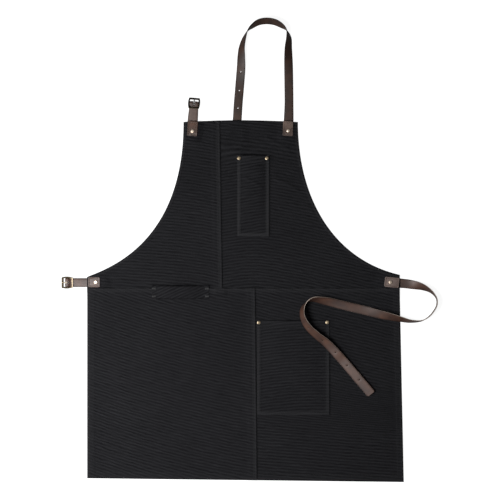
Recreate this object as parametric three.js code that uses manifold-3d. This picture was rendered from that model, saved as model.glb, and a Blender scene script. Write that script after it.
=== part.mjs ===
// Kitchen apron laid flat with its front up: a black canvas bib and skirt with two patch pockets and
// a towel loop, dark brown leather straps and tabs, antique brass buckles and rivets.
// Units are millimetres. X runs to the right, Y towards the neck, Z up from the table.

import * as THREE from "three";
import { mergeVertices } from "three/addons/utils/BufferGeometryUtils.js";
import Module from "manifold-3d";

// Walls, and the clearance between pieces that lie on each other
const CANVAS = 1.2;
const LEATHER = 2;
const GAP = 0.3;
const LAYER = CANVAS + GAP;

// Canvas outline
const BIB = { left: -146, right: 107.7, top: 284, crown: 5.5, crownDepth: 120 };
const WAIST = { left: -359.6, right: 332.6, leftCorner: -62, rightCorner: -57.5, seam: -85.5 };
const HEM = { left: -359.6, right: 340, leftY: -508, rightY: -515.5 };
const LEFT_ARMHOLE = { drop: 258, run: 72, rise: 34 };
const RIGHT_ARMHOLE = { drop: 156, run: -168, rise: 50 };

// Seams: the left panel laps over the right one, and the skirt over the bib
const SEAM_LAP = 12;
const BIB_SEAM = { top: -66, bottom: -60 };
const SKIRT_SEAM = { top: 12.8, bottom: 17 };

// Pockets and towel loop: edges on the canvas, and how far the middle of the wall stands off it
const CHEST_POCKET = { left: -28, right: 44.4, top: 209.6, bottom: 28.7, belly: 6.6, margin: 7 };
const HIP_POCKET = { left: 16, right: 178, top: -157.3, bottom: -368.2, belly: 7.2, margin: 8 };
const TOWEL_LOOP = { left: -217, right: -90.3, top: -84, bottom: -109.5, belly: 7, foot: 0.09 };

// Leather
const STRAP_WIDTH = 19.6;
const STRAP_TIP = { length: 5, width: 0.5 };
const HOLE_RADIUS = 1.7;
const HOLE_PITCH = 40;
const TAB_WIDTH = 21;

// Rivets: a domed cap on a shank, set down on a flat tail
const RIVET = { cap: 4.2, dome: 1.6, rim: 0.5, shank: 1.5, tail: 3.8, tailHeight: 0.8, bore: 1.8 };
const RIVET_SIDES = 12;
const TAIL_SEAT = RIVET.tailHeight + GAP;

// Buckles: reach runs from the rivet to the middle bar, far and near from that bar to the frame's ends
const BUCKLE = { reach: 61.6, far: 13, near: 10.6, side: 13.2, rail: 2.8, bar: 1.9, thick: 2, corner: 4 };
const FOLD = { inner: 1.8, layerGap: 0.2, descent: 7.2, tail: 11 };
const BAR_HEIGHT = LEATHER + FOLD.inner;
const BUCKLE_TILT = Math.asin(0.215);
const PRONG = { ring: 2.8, bore: 1.7, width: 2.4, thick: 1.7, root: 1.05, length: 13.2, tip: -0.5 };
const PRONG_SLOT = { back: 5.5, width: 3.4 };

// Strap roots: where the rivet sits, which way the strap leaves, and the tab's ends either side of it
const ROOTS = {
  neck_left: { x: -128.2, y: 262.6, heading: 85.5, outer: 20.3, inner: 10.7 },
  neck_right: { x: 84.8, y: 263.4, heading: 88, outer: 19.5, inner: 11.5 },
  waist_left: { x: -343.3, y: -73.6, heading: 180, outer: 15.8, inner: 11 },
  waist_right: { x: 312.8, y: -72.6, heading: -5.5, outer: 17, inner: 13 },
};

// Long straps: the middle line on the table, and the turn of the strap about that line in degrees
const NECK_ROUTE = [
  { x: 84.4, y: 252, roll: 0 },
  { x: 85.8, y: 283, roll: 0 },
  { x: 87.2, y: 321, roll: 0 },
  { x: 87.2, y: 363, roll: 0 },
  { x: 86.6, y: 405, roll: 8 },
  { x: 86.1, y: 428, roll: 22 },
  { x: 86.1, y: 448, roll: 36 },
  { x: 87, y: 470, roll: 60 },
  { x: 84.5, y: 485.5, roll: 88 },
  { x: 73, y: 496.6, roll: 118 },
  { x: 57, y: 505, roll: 132 },
  { x: 37.6, y: 508.2, roll: 136 },
  { x: 19.8, y: 505, roll: 130 },
  { x: 5.3, y: 495.5, roll: 112 },
  { x: -5.1, y: 485.5, roll: 90 },
  { x: -12.2, y: 470, roll: 70 },
  { x: -17.4, y: 448, roll: 50 },
  { x: -18.5, y: 428, roll: 33 },
  { x: -18.9, y: 405, roll: 18 },
  { x: -22, y: 363, roll: 2 },
  { x: -25.5, y: 321, roll: 0 },
  { x: -27.4, y: 290, roll: 0 },
  { x: -29.6, y: 265, roll: 0 },
  { x: -31.8, y: 241, roll: 0 },
  { x: -34, y: 216.5, roll: 0 },
];
const WAIST_ROUTE = [
  { x: 301, y: -71.4, roll: 0 },
  { x: 331, y: -74.5, roll: 0 },
  { x: 357.6, y: -77.6, roll: 8 },
  { x: 384, y: -83.7, roll: 46 },
  { x: 403.5, y: -94.6, roll: 76 },
  { x: 414.4, y: -109, roll: 89 },
  { x: 415, y: -123, roll: 91 },
  { x: 408, y: -137, roll: 91 },
  { x: 395, y: -148.5, roll: 92 },
  { x: 379, y: -156.5, roll: 97 },
  { x: 357, y: -159, roll: 110 },
  { x: 335, y: -154.4, roll: 126 },
  { x: 316.8, y: -150.2, roll: 139 },
  { x: 294, y: -145, roll: 155 },
  { x: 248.8, y: -133.7, roll: 174 },
  { x: 203.4, y: -122.8, roll: 166 },
  { x: 169.3, y: -114.6, roll: 150 },
  { x: 143, y: -111, roll: 118 },
  { x: 127.8, y: -119, roll: 90 },
  { x: 120.4, y: -132, roll: 64 },
  { x: 119.4, y: -146, roll: 50 },
  { x: 123.7, y: -161, roll: 41 },
  { x: 133.9, y: -176.7, roll: 28 },
  { x: 148.2, y: -190.5, roll: 12 },
  { x: 169.1, y: -208, roll: 0 },
  { x: 201.1, y: -245, roll: 0 },
  { x: 234.5, y: -284, roll: 0 },
  { x: 270.1, y: -325.7, roll: 0 },
];
const NECK_HOLES = { fromTip: 18, count: 5 };
const WAIST_HOLES = { fromTip: 42, count: 5 };

// Soft folds of the canvas: middle, heading in degrees, half length, half width and height
const FOLDS = [
  { x: 71, y: 241, heading: -32, length: 58, width: 40, height: 1.8 },
  { x: 18, y: 16, heading: 6, length: 130, width: 48, height: 1.8 },
  { x: -190, y: -250, heading: 72, length: 240, width: 95, height: 3 },
  { x: 250, y: -415, heading: 8, length: 150, width: 85, height: 3 },
];

// Spread of the lift that a hidden piece gives the cloth above it: level next to it, then falling off
const DRAPE = { level: 30, fall: 70 };

const COLOURS = {
  canvas: { color: 0x242426, roughness: 0.92, metalness: 0 },
  leather: { color: 0x47362e, roughness: 0.55, metalness: 0 },
  brass: { color: 0x9a7b55, roughness: 0.36, metalness: 1 },
};

const wasm = await Module();
wasm.setup();
const apron = new THREE.Group();
const { lerp, clamp, smoothstep, degToRad } = THREE.MathUtils;

function addPiece(parent, name, finish, geometry) {
  const piece = new THREE.Mesh(geometry, new THREE.MeshStandardMaterial(COLOURS[finish]));
  piece.name = name;
  parent.add(piece);
  return piece;
}

// Joins and cuts

function toSolid(geometry) {
  const bare = geometry.clone();
  bare.deleteAttribute("normal");
  bare.deleteAttribute("uv");
  const merged = mergeVertices(bare);
  const mesh = new wasm.Mesh({
    numProp: 3,
    vertProperties: new Float32Array(merged.attributes.position.array),
    triVerts: new Uint32Array(merged.index.array),
  });
  return new wasm.Manifold(mesh);
}

function toGeometry(solid) {
  const mesh = solid.getMesh();
  const geometry = new THREE.BufferGeometry();
  geometry.setAttribute("position", new THREE.BufferAttribute(mesh.vertProperties, 3));
  geometry.setIndex(new THREE.BufferAttribute(mesh.triVerts, 1));
  return geometry;
}

function cutAway(geometry, tools) {
  const rest = tools.reduce((solid, tool) => solid.subtract(toSolid(tool)), toSolid(geometry));
  return toGeometry(rest);
}

// An upright cylinder standing on z = from
function drill(radius, x, y, from, to) {
  const cylinder = new THREE.CylinderGeometry(radius, radius, to - from, RIVET_SIDES);
  cylinder.rotateX(Math.PI / 2);
  return cylinder.translate(x, y, (from + to) / 2);
}

const rivetBore = (at) => drill(RIVET.bore, at.x, at.y, -10, 30);
const tailSeat = (at) => drill(RIVET.tail + GAP, at.x, at.y, -1, TAIL_SEAT);

// A flat slab bent to shape: place(u, v, side) takes slab coordinates from 0 to 1 to a point
function bentSlab(columns, rows, place) {
  const slab = new THREE.BoxGeometry(1, 1, 1, columns, rows, 1);
  slab.deleteAttribute("normal");
  slab.deleteAttribute("uv");
  const points = slab.attributes.position;
  for (let i = 0; i < points.count; i++) {
    const at = place(points.getX(i) + 0.5, points.getY(i) + 0.5, points.getZ(i) + 0.5);
    points.setXYZ(i, at.x, at.y, at.z);
  }
  return mergeVertices(slab);
}

// Edges of the canvas

const curvePoint = (x, y) => new THREE.Vector2(x, y);

function armhole(top, corner, shape) {
  return new THREE.CubicBezierCurve(
    curvePoint(top.x, top.y),
    curvePoint(top.x, top.y - shape.drop),
    curvePoint(corner.x + shape.run, corner.y + shape.rise),
    curvePoint(corner.x, corner.y),
  );
}

const leftArmhole = armhole(
  { x: BIB.left, y: BIB.top },
  { x: WAIST.left, y: WAIST.leftCorner },
  LEFT_ARMHOLE,
);
const rightArmhole = armhole(
  { x: BIB.right, y: BIB.top },
  { x: WAIST.right, y: WAIST.rightCorner },
  RIGHT_ARMHOLE,
);

// The curve falls all the way, so halving finds the place at a given height
function edgeAt(curve, y) {
  let low = 0;
  let high = 1;
  for (let i = 0; i < 30; i++) {
    const middle = (low + high) / 2;
    if (curve.getPoint(middle).y > y) low = middle;
    else high = middle;
  }
  return curve.getPoint(low).x;
}

const between = (y, top, bottom) => clamp((top - y) / (top - bottom), 0, 1);
const bibSeam = (y) => lerp(BIB_SEAM.top, BIB_SEAM.bottom, between(y, BIB.top, WAIST.seam));
const skirtSeam = (y) => lerp(SKIRT_SEAM.top, SKIRT_SEAM.bottom, between(y, WAIST.seam, HEM.leftY));
const skirtSide = (y) => lerp(WAIST.right, HEM.right, between(y, WAIST.seam, HEM.rightY));
const hemLine = (x) => lerp(HEM.leftY, HEM.rightY, (x - HEM.left) / (HEM.right - HEM.left));

function crownedTop(x, y) {
  const middle = (BIB.left + BIB.right) / 2;
  const across = (x - middle) / ((BIB.right - BIB.left) / 2);
  const near = smoothstep(y, BIB.top - BIB.crownDepth, BIB.top);
  return y + BIB.crown * (1 - clamp(across * across, 0, 1)) * near;
}

// Heights: each wall lies on what is under it

// 1 over a piece and close to it, falling to 0 further off; inside is the distance within its edge
const drape = (inside, level = DRAPE.level, fall = DRAPE.fall) => clamp(1 + (inside + level) / fall, 0, 1);

function distanceToLine(x, y, from, to) {
  const along = new THREE.Line3(new THREE.Vector3(from.x, from.y), new THREE.Vector3(to.x, to.y));
  const point = new THREE.Vector3(x, y);
  return along.closestPointToPoint(point, true, new THREE.Vector3()).distanceTo(point);
}

function alongHeading(at, distance) {
  const turn = degToRad(at.heading);
  return { x: at.x + distance * Math.cos(turn), y: at.y + distance * Math.sin(turn) };
}

const POCKET_RIVETS = {
  chest_left: { x: CHEST_POCKET.left + 4.6, y: CHEST_POCKET.top - 7 },
  chest_right: { x: CHEST_POCKET.right - 6, y: CHEST_POCKET.top - 7 },
  hip_left: { x: HIP_POCKET.left + 5.2, y: HIP_POCKET.top - 5 },
  hip_right: { x: HIP_POCKET.right - 5.6, y: HIP_POCKET.top - 5 },
};

const FOLDED_TOP = 2 * LEATHER + FOLD.layerGap;
const tucked = (root, top) => ({
  from: alongHeading(root, -FOLD.tail),
  to: alongHeading(root, root.outer),
  half: STRAP_WIDTH / 2,
  lift: top + GAP,
});
const tail = (at) => ({ from: at, to: at, half: RIVET.tail, lift: TAIL_SEAT });
const TUCKED = [
  tucked(ROOTS.neck_left, FOLDED_TOP),
  tucked(ROOTS.waist_left, FOLDED_TOP),
  tucked(ROOTS.neck_right, LEATHER),
  tucked(ROOTS.waist_right, LEATHER),
  { from: NECK_ROUTE.at(-4), to: NECK_ROUTE.at(-1), half: STRAP_WIDTH / 2, lift: LEATHER + GAP },
  ...Object.values(POCKET_RIVETS).map(tail),
];

function foldHeight(x, y, fold) {
  const turn = degToRad(fold.heading);
  const along = (x - fold.x) * Math.cos(turn) + (y - fold.y) * Math.sin(turn);
  const across = (y - fold.y) * Math.cos(turn) - (x - fold.x) * Math.sin(turn);
  const off = (along / fold.length) ** 2 + (across / fold.width) ** 2;
  return off < 1 ? fold.height * (1 - off) ** 2 : 0;
}

function bed(x, y) {
  const lifts = TUCKED.map((t) => t.lift * drape(t.half - distanceToLine(x, y, t.from, t.to)));
  return Math.max(...lifts) + FOLDS.reduce((sum, fold) => sum + foldHeight(x, y, fold), 0);
}

const aboveWaistEdge = (y) => y - (WAIST.seam - SEAM_LAP);
const onBibRight = (x, y) => drape(Math.min(x - bibSeam(y) + SEAM_LAP, aboveWaistEdge(y)));
const onBibLeft = (x, y) => drape(Math.min(bibSeam(y) - x, aboveWaistEdge(y)));
const onSkirtRight = (x, y) => drape(Math.min(x - skirtSeam(y) + SEAM_LAP, WAIST.seam - y));

const bibRightBase = bed;
const bibLeftBase = (x, y) => bed(x, y) + LAYER * onBibRight(x, y);
const skirtRightBase = (x, y) => bibLeftBase(x, y) + LAYER * onBibLeft(x, y);
const skirtLeftBase = (x, y) => skirtRightBase(x, y) + LAYER * onSkirtRight(x, y);
const over = (base) => (x, y) => base(x, y) + LAYER;

// Canvas panels

// Places along the waist seam where the cloth is divided, so that the panels bend in step where they lap
const WAIST_STATIONS = [
  -345, -330, -312, -290, -262, -228, -190, -150, -110, BIB_SEAM.bottom - SEAM_LAP, BIB_SEAM.bottom, -30,
  SKIRT_SEAM.top - SEAM_LAP, SKIRT_SEAM.top, 40, 70, 100, 130, 160, 190, 220, 250, 275, 298, 316,
];

// Cross lines of a panel: an edge that laps keeps the lap as a strip of its own
function columnsOf(shape) {
  const left = shape.left(WAIST.seam);
  const right = shape.right(WAIST.seam);
  const inner = WAIST_STATIONS.filter((x) => x > left + 1 && x < right - 1);
  const start = left + shape.lapLeft;
  const span = right - shape.lapRight - start;
  const fractions = inner.map((x) => (x - start) / span);
  return (y) => {
    const from = shape.left(y) + shape.lapLeft;
    const to = shape.right(y) - shape.lapRight;
    return [shape.left(y), ...fractions.map((f) => lerp(from, to, f)), shape.right(y)];
  };
}

function panel(name, shape) {
  const columns = columnsOf(shape);
  const columnCount = columns(WAIST.seam).length - 1;
  const rowCount = shape.rows.length - 1;
  const place = (u, v, side) => {
    const flatY = shape.rows[Math.round((1 - v) * rowCount)];
    const x = columns(flatY)[Math.round(u * columnCount)];
    const y = shape.bend(x, flatY);
    return { x, y, z: shape.base(x, y) + side * CANVAS };
  };
  const wall = bentSlab(columnCount, rowCount, place);
  addPiece(apron, name, "canvas", cutAway(wall, shape.rivets.map(rivetBore)));
}

// Rows of the bib, closer together at its top and towards the waist, then the lap under the skirt
const BIB_ROWS = 15;
const bibRows = [];
for (let i = 0; i <= BIB_ROWS; i++) {
  bibRows.push(lerp(BIB.top, WAIST.seam, (1 - Math.cos((Math.PI * i) / BIB_ROWS)) / 2));
}
bibRows.push(WAIST.seam - SEAM_LAP);

// Rows of the skirt: the lap over the bib, then even steps down to the hem
const SKIRT_ROWS = 13;
const skirtRows = [WAIST.seam];
for (let i = 0; i <= SKIRT_ROWS; i++) {
  skirtRows.push(lerp(WAIST.seam - SEAM_LAP, HEM.leftY, i / SKIRT_ROWS));
}

// Bends the straight lower rows of a skirt panel down to the hem line
function hemmed(x, y) {
  const down = between(y, WAIST.seam, HEM.leftY);
  return y + (hemLine(x) - HEM.leftY) * down;
}

panel("bib_panel_right", {
  left: (y) => bibSeam(y) - SEAM_LAP,
  right: (y) => (y < WAIST.rightCorner ? WAIST.right : edgeAt(rightArmhole, y)),
  lapLeft: SEAM_LAP,
  lapRight: 0,
  rows: bibRows,
  bend: crownedTop,
  base: bibRightBase,
  rivets: [ROOTS.neck_right, ROOTS.waist_right, POCKET_RIVETS.chest_left, POCKET_RIVETS.chest_right],
});

panel("bib_panel_left", {
  left: (y) => (y < WAIST.leftCorner ? WAIST.left : edgeAt(leftArmhole, y)),
  right: bibSeam,
  lapLeft: 0,
  lapRight: SEAM_LAP,
  rows: bibRows,
  bend: crownedTop,
  base: bibLeftBase,
  rivets: [ROOTS.neck_left, ROOTS.waist_left],
});

panel("skirt_panel_right", {
  left: (y) => skirtSeam(y) - SEAM_LAP,
  right: skirtSide,
  lapLeft: SEAM_LAP,
  lapRight: 0,
  rows: skirtRows,
  bend: hemmed,
  base: skirtRightBase,
  rivets: [POCKET_RIVETS.hip_left, POCKET_RIVETS.hip_right],
});

panel("skirt_panel_left", {
  left: () => HEM.left,
  right: skirtSeam,
  lapLeft: 0,
  lapRight: SEAM_LAP,
  rows: skirtRows,
  bend: hemmed,
  base: skirtLeftBase,
  rivets: [],
});

// Patch pockets, sewn down on three sides and standing open at the top

function pocketBelly(pocket, x, y) {
  const span = pocket.right - pocket.left - 2 * pocket.margin;
  const across = clamp((x - pocket.left - pocket.margin) / span, 0, 1);
  const up = clamp((y - pocket.bottom) / (pocket.top - pocket.bottom), 0, 1);
  return pocket.belly * Math.sin(Math.PI * across) ** 1.1 * Math.sin((Math.PI / 2) * up);
}

function pocket(name, shape, base, bellyColumns, rows, rivets) {
  const columns = [shape.left];
  for (let i = 0; i <= bellyColumns; i++) {
    columns.push(lerp(shape.left + shape.margin, shape.right - shape.margin, i / bellyColumns));
  }
  columns.push(shape.right);
  const last = columns.length - 1;
  const place = (u, v, side) => {
    const x = columns[Math.round(u * last)];
    const y = lerp(shape.bottom, shape.top, v);
    return { x, y, z: base(x, y) + pocketBelly(shape, x, y) + side * CANVAS };
  };
  addPiece(apron, name, "canvas", cutAway(bentSlab(last, rows, place), rivets.map(rivetBore)));
}

const chestBase = over(bibRightBase);
const hipBase = over(skirtRightBase);
pocket("chest_pocket", CHEST_POCKET, chestBase, 8, 8, [POCKET_RIVETS.chest_left, POCKET_RIVETS.chest_right]);
pocket("hip_pocket", HIP_POCKET, hipBase, 10, 9, [POCKET_RIVETS.hip_left, POCKET_RIVETS.hip_right]);

// Towel loop: a band held down at its two feet and arched between them

const loopBase = over(skirtLeftBase);
const towelLoop = bentSlab(18, 2, (u, v, side) => {
  const x = lerp(TOWEL_LOOP.left, TOWEL_LOOP.right, u);
  const y = lerp(TOWEL_LOOP.bottom, TOWEL_LOOP.top, v);
  const arch = clamp((u - TOWEL_LOOP.foot) / (1 - 2 * TOWEL_LOOP.foot), 0, 1);
  return { x, y, z: loopBase(x, y) + TOWEL_LOOP.belly * Math.sin(Math.PI * arch) + side * CANVAS };
});
addPiece(apron, "towel_loop", "canvas", towelLoop);

// Leather tabs over the strap roots

const rootBase = {
  neck_left: over(bibLeftBase),
  neck_right: over(bibRightBase),
  waist_left: over(bibLeftBase),
  waist_right: over(bibRightBase),
};

for (const [place, root] of Object.entries(ROOTS)) {
  const turn = degToRad(root.heading);
  const wall = bentSlab(4, 3, (u, v, side) => {
    const end = alongHeading(root, lerp(-root.inner, root.outer, u));
    const across = (v - 0.5) * TAB_WIDTH;
    const x = end.x - across * Math.sin(turn);
    const y = end.y + across * Math.cos(turn);
    return { x, y, z: rootBase[place](x, y) + side * LEATHER };
  });
  const [end, hand] = place.split("_");
  addPiece(apron, `${end}_tab_${hand}`, "leather", cutAway(wall, [rivetBore(root)]));
}

// Long straps: a flat band that follows its route and rolls about it, standing on its lower edge

function bandAlong(route, support) {
  const line = new THREE.CatmullRomCurve3(route.map((row) => new THREE.Vector3(row.x, row.y, 0)));
  const rolls = new THREE.SplineCurve(route.map((row, i) => new THREE.Vector2(i, row.roll)));
  const frameAt = (u) => {
    const t = line.getUtoTmapping(u);
    const middle = line.getPoint(t);
    const ahead = line.getTangent(t);
    const left = new THREE.Vector3(-ahead.y, ahead.x, 0);
    const roll = degToRad(rolls.getPoint(t).y);
    const across = left.clone().multiplyScalar(Math.cos(roll));
    across.z = Math.sin(roll);
    const face = left.clone().multiplyScalar(-Math.sin(roll));
    face.z = Math.cos(roll);
    const half = (STRAP_WIDTH * Math.abs(Math.sin(roll)) + LEATHER * Math.abs(Math.cos(roll))) / 2;
    middle.z = half + support(middle, left, Math.cos(roll), u);
    return { middle, across, face };
  };
  return { length: line.getLength(), frameAt };
}

function strap(name, band, sections, holes, root) {
  const tipStart = 1 - STRAP_TIP.length / band.length;
  const stations = sections - 2;
  const place = (u, v, side) => {
    const step = u * sections;
    const along = step <= stations ? (step / stations) * tipStart : lerp(tipStart, 1, (step - stations) / 2);
    const taper = clamp((along - tipStart) / (1 - tipStart), 0, 1);
    const width = STRAP_WIDTH * (1 - STRAP_TIP.width * taper * taper);
    const { middle, across, face } = band.frameAt(along);
    middle.addScaledVector(across, (v - 0.5) * width);
    return middle.addScaledVector(face, (side - 0.5) * LEATHER);
  };
  const punches = [];
  for (let i = 0; i < holes.count; i++) {
    const { middle, face } = band.frameAt(1 - (holes.fromTip + i * HOLE_PITCH) / band.length);
    const punch = new THREE.CylinderGeometry(HOLE_RADIUS, HOLE_RADIUS, 4 * LEATHER, 10);
    const upright = new THREE.Vector3(0, 1, 0);
    punch.applyQuaternion(new THREE.Quaternion().setFromUnitVectors(upright, face));
    punches.push(punch.translate(middle.x, middle.y, middle.z));
  }
  const wall = bentSlab(sections, 2, place);
  addPiece(apron, name, "leather", cutAway(wall, [rivetBore(root), tailSeat(root), ...punches]));
}

// Height of the skirt and of the hip pocket on it, for a strap that lies on them
function apronTop(x, y) {
  const onSkirt = drape(Math.min(skirtSide(y) - x, WAIST.seam - y), 4, 20);
  const beside = Math.min(x - HIP_POCKET.left, HIP_POCKET.right - x);
  const below = Math.min(y - HIP_POCKET.bottom, HIP_POCKET.top - y);
  const onPocket = drape(Math.min(beside, below), 8, 14) * (LAYER + pocketBelly(HIP_POCKET, x, y));
  return onSkirt * (over(skirtRightBase)(x, y) + onPocket);
}

// The strap's root lies on the table under the bib; past it the strap lies on the skirt
function waistSupport(middle, left, flatness, u) {
  if (u < 0.25) return 0;
  const reach = (STRAP_WIDTH / 2) * flatness;
  const heights = [-1, -0.5, 0, 0.5, 1].map((side) => {
    const at = middle.clone().addScaledVector(left, side * reach);
    return apronTop(at.x, at.y);
  });
  return Math.max(...heights);
}

strap("neck_strap", bandAlong(NECK_ROUTE, () => 0), 54, NECK_HOLES, ROOTS.neck_right);
strap("waist_strap", bandAlong(WAIST_ROUTE, waistSupport), 68, WAIST_HOLES, ROOTS.waist_right);

// Buckles: in each group X leads out of the apron along the strap, from the rivet at the origin

const FOLD_STEPS = 8;
const DESCENT_STEPS = 6;

// Middle line of the folded strap seen from its side: out along the table, round the bar and back on top
function foldedLine() {
  const turn = FOLD.inner + LEATHER / 2;
  const upper = FOLDED_TOP - LEATHER / 2;
  const line = [new THREE.Vector2(-FOLD.tail, LEATHER / 2)];
  line.push(new THREE.Vector2(BUCKLE.reach - FOLD.descent, LEATHER / 2));
  for (let i = 0; i <= FOLD_STEPS; i++) {
    const angle = Math.PI * (i / FOLD_STEPS - 0.5);
    line.push(new THREE.Vector2(BUCKLE.reach + turn * Math.cos(angle), BAR_HEIGHT + turn * Math.sin(angle)));
  }
  for (let i = 1; i <= DESCENT_STEPS; i++) {
    const t = i / DESCENT_STEPS;
    const height = lerp(BAR_HEIGHT + turn, upper, smoothstep(t, 0, 1));
    line.push(new THREE.Vector2(BUCKLE.reach - FOLD.descent * t, height));
  }
  line.push(new THREE.Vector2(-FOLD.tail, upper));
  return line;
}

function foldedStrap() {
  const line = foldedLine();
  const last = line.length - 1;
  const wall = bentSlab(last, 2, (u, v, side) => {
    const i = Math.round(u * last);
    const ahead = line[Math.min(i + 1, last)].clone().sub(line[Math.max(i - 1, 0)]).normalize();
    const inward = (side - 0.5) * LEATHER;
    return {
      x: line[i].x - ahead.y * inward,
      y: (v - 0.5) * STRAP_WIDTH,
      z: line[i].y + ahead.x * inward,
    };
  });
  const length = PRONG_SLOT.back + BUCKLE.far;
  const slot = new THREE.BoxGeometry(length, PRONG_SLOT.width, 4 * BAR_HEIGHT);
  slot.translate(BUCKLE.reach - PRONG_SLOT.back + length / 2, 0, BAR_HEIGHT);
  const rivet = { x: 0, y: 0 };
  return cutAway(wall, [slot, rivetBore(rivet), tailSeat(rivet)]);
}

function roundedRectangle(outline, left, right, half, corner) {
  outline.moveTo(left + corner, -half);
  outline.lineTo(right - corner, -half);
  outline.absarc(right - corner, -half + corner, corner, -Math.PI / 2, 0);
  outline.lineTo(right, half - corner);
  outline.absarc(right - corner, half - corner, corner, 0, Math.PI / 2);
  outline.lineTo(left + corner, half);
  outline.absarc(left + corner, half - corner, corner, Math.PI / 2, Math.PI);
  outline.lineTo(left, -half + corner);
  outline.absarc(left + corner, -half + corner, corner, Math.PI, 1.5 * Math.PI);
  return outline;
}

// Frame with a middle bar, tipped so that its far end lies on the table and its near end on the strap
function buckleFrame() {
  const { far, near, side, rail, bar, thick, corner } = BUCKLE;
  const frame = roundedRectangle(new THREE.Shape(), -near, far, side, corner);
  const inner = corner - rail;
  frame.holes.push(roundedRectangle(new THREE.Path(), bar / 2, far - rail, side - rail, inner));
  frame.holes.push(roundedRectangle(new THREE.Path(), rail - near, -bar / 2, side - rail, inner));
  const body = new THREE.ExtrudeGeometry(frame, { depth: thick, bevelEnabled: false, curveSegments: 4 });
  return body.translate(0, 0, -thick / 2).rotateY(BUCKLE_TILT);
}

// Prong: a ring round the middle bar and a tapered tongue that lies on the far end of the frame
function buckleProng() {
  const half = PRONG.thick / 2;
  const tongue = new THREE.Shape();
  tongue.moveTo(0, PRONG.root - half);
  tongue.lineTo(PRONG.length - half, PRONG.tip - half);
  tongue.lineTo(PRONG.length, PRONG.tip);
  tongue.lineTo(PRONG.length - half, PRONG.tip + half);
  tongue.lineTo(0, PRONG.root + half);
  const blade = new THREE.ExtrudeGeometry(tongue, { depth: PRONG.width, bevelEnabled: false });
  blade.rotateX(Math.PI / 2).translate(0, PRONG.width / 2, 0);
  const ring = new THREE.CylinderGeometry(PRONG.ring, PRONG.ring, PRONG.width, RIVET_SIDES);
  const bore = new THREE.CylinderGeometry(PRONG.bore, PRONG.bore, 2 * PRONG.width, RIVET_SIDES);
  return toGeometry(toSolid(blade).add(toSolid(ring)).subtract(toSolid(bore)));
}

for (const end of ["neck", "waist"]) {
  const root = ROOTS[`${end}_left`];
  const group = new THREE.Group();
  group.position.set(root.x, root.y, 0);
  group.rotation.z = degToRad(root.heading);
  apron.add(group);
  addPiece(group, `${end}_buckle_strap`, "leather", foldedStrap());
  const frame = addPiece(group, `${end}_buckle_frame`, "brass", buckleFrame());
  const prong = addPiece(group, `${end}_buckle_prong`, "brass", buckleProng());
  frame.position.set(BUCKLE.reach, 0, BAR_HEIGHT);
  prong.position.set(BUCKLE.reach, 0, BAR_HEIGHT);
}

// Rivets

function rivet(name, at, seat) {
  const profile = [
    [0, 0],
    [RIVET.tail, 0],
    [RIVET.tail, RIVET.tailHeight],
    [RIVET.shank, RIVET.tailHeight],
    [RIVET.shank, seat],
    [RIVET.cap, seat],
    [RIVET.cap, seat + RIVET.rim],
    [RIVET.cap * 0.72, seat + RIVET.rim + RIVET.dome * 0.62],
    [0, seat + RIVET.rim + RIVET.dome],
  ];
  const outline = profile.map(([radius, height]) => new THREE.Vector2(radius, height));
  const body = new THREE.LatheGeometry(outline, RIVET_SIDES).rotateX(Math.PI / 2);
  addPiece(apron, name, "brass", body).position.set(at.x, at.y, 0);
}

for (const [place, root] of Object.entries(ROOTS)) {
  const [end, hand] = place.split("_");
  rivet(`${end}_rivet_${hand}`, root, rootBase[place](root.x, root.y) + LEATHER + GAP);
}

// A pocket's wall rises towards its middle, so the cap sits on the highest point under its rim
const pocketWalls = {
  chest: (x, y) => chestBase(x, y) + pocketBelly(CHEST_POCKET, x, y),
  hip: (x, y) => hipBase(x, y) + pocketBelly(HIP_POCKET, x, y),
};
for (const [place, at] of Object.entries(POCKET_RIVETS)) {
  const [end, hand] = place.split("_");
  const heights = [-1, 0, 1].map((side) => pocketWalls[end](at.x + side * RIVET.cap, at.y));
  rivet(`${end}_rivet_${hand}`, at, Math.max(...heights) + CANVAS + GAP);
}

export default apron;
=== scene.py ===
import bisect
import math
from collections import namedtuple

import bmesh
import bpy
from mathutils import Matrix, Vector, kdtree, noise
from mathutils.geometry import interpolate_bezier


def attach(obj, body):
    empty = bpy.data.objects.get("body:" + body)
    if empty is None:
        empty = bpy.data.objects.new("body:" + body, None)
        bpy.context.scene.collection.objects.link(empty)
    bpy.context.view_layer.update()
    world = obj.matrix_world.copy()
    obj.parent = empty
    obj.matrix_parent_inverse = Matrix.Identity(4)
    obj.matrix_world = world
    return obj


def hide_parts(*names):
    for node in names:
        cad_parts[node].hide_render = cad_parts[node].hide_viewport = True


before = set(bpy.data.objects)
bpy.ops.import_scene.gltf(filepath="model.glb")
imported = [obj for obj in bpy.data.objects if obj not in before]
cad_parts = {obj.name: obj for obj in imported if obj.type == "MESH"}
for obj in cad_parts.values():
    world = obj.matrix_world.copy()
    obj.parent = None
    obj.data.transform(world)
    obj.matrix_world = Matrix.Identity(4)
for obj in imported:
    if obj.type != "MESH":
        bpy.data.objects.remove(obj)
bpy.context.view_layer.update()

# Bib
# Two panels of black cotton canvas, cut to the neck edge and the armholes. The left panel is turned under
# and laps over the right one, and every free edge is turned to the back and stitched. Sizes are in mm.

MM = 0.001
CANVAS = 1.2
GAP = 0.3
LAYER = CANVAS + GAP
LAP = 12
CELL = 3.2
REST_HEIGHT = 0.7
CRISP_RIM = 0.0001
BIB_LEFT, BIB_RIGHT, BIB_TOP = -146.7, 107.3, 282.9
BIB_CROWN, CROWN_DEPTH = 4, 120
BIB_SEAM = (-66, -60)
WAIST_LEFT, WAIST_RIGHT, WAIST_SEAM = -360.7, 333.4, -85.5
LEFT_CORNER, RIGHT_CORNER = -61, -56.4

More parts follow.
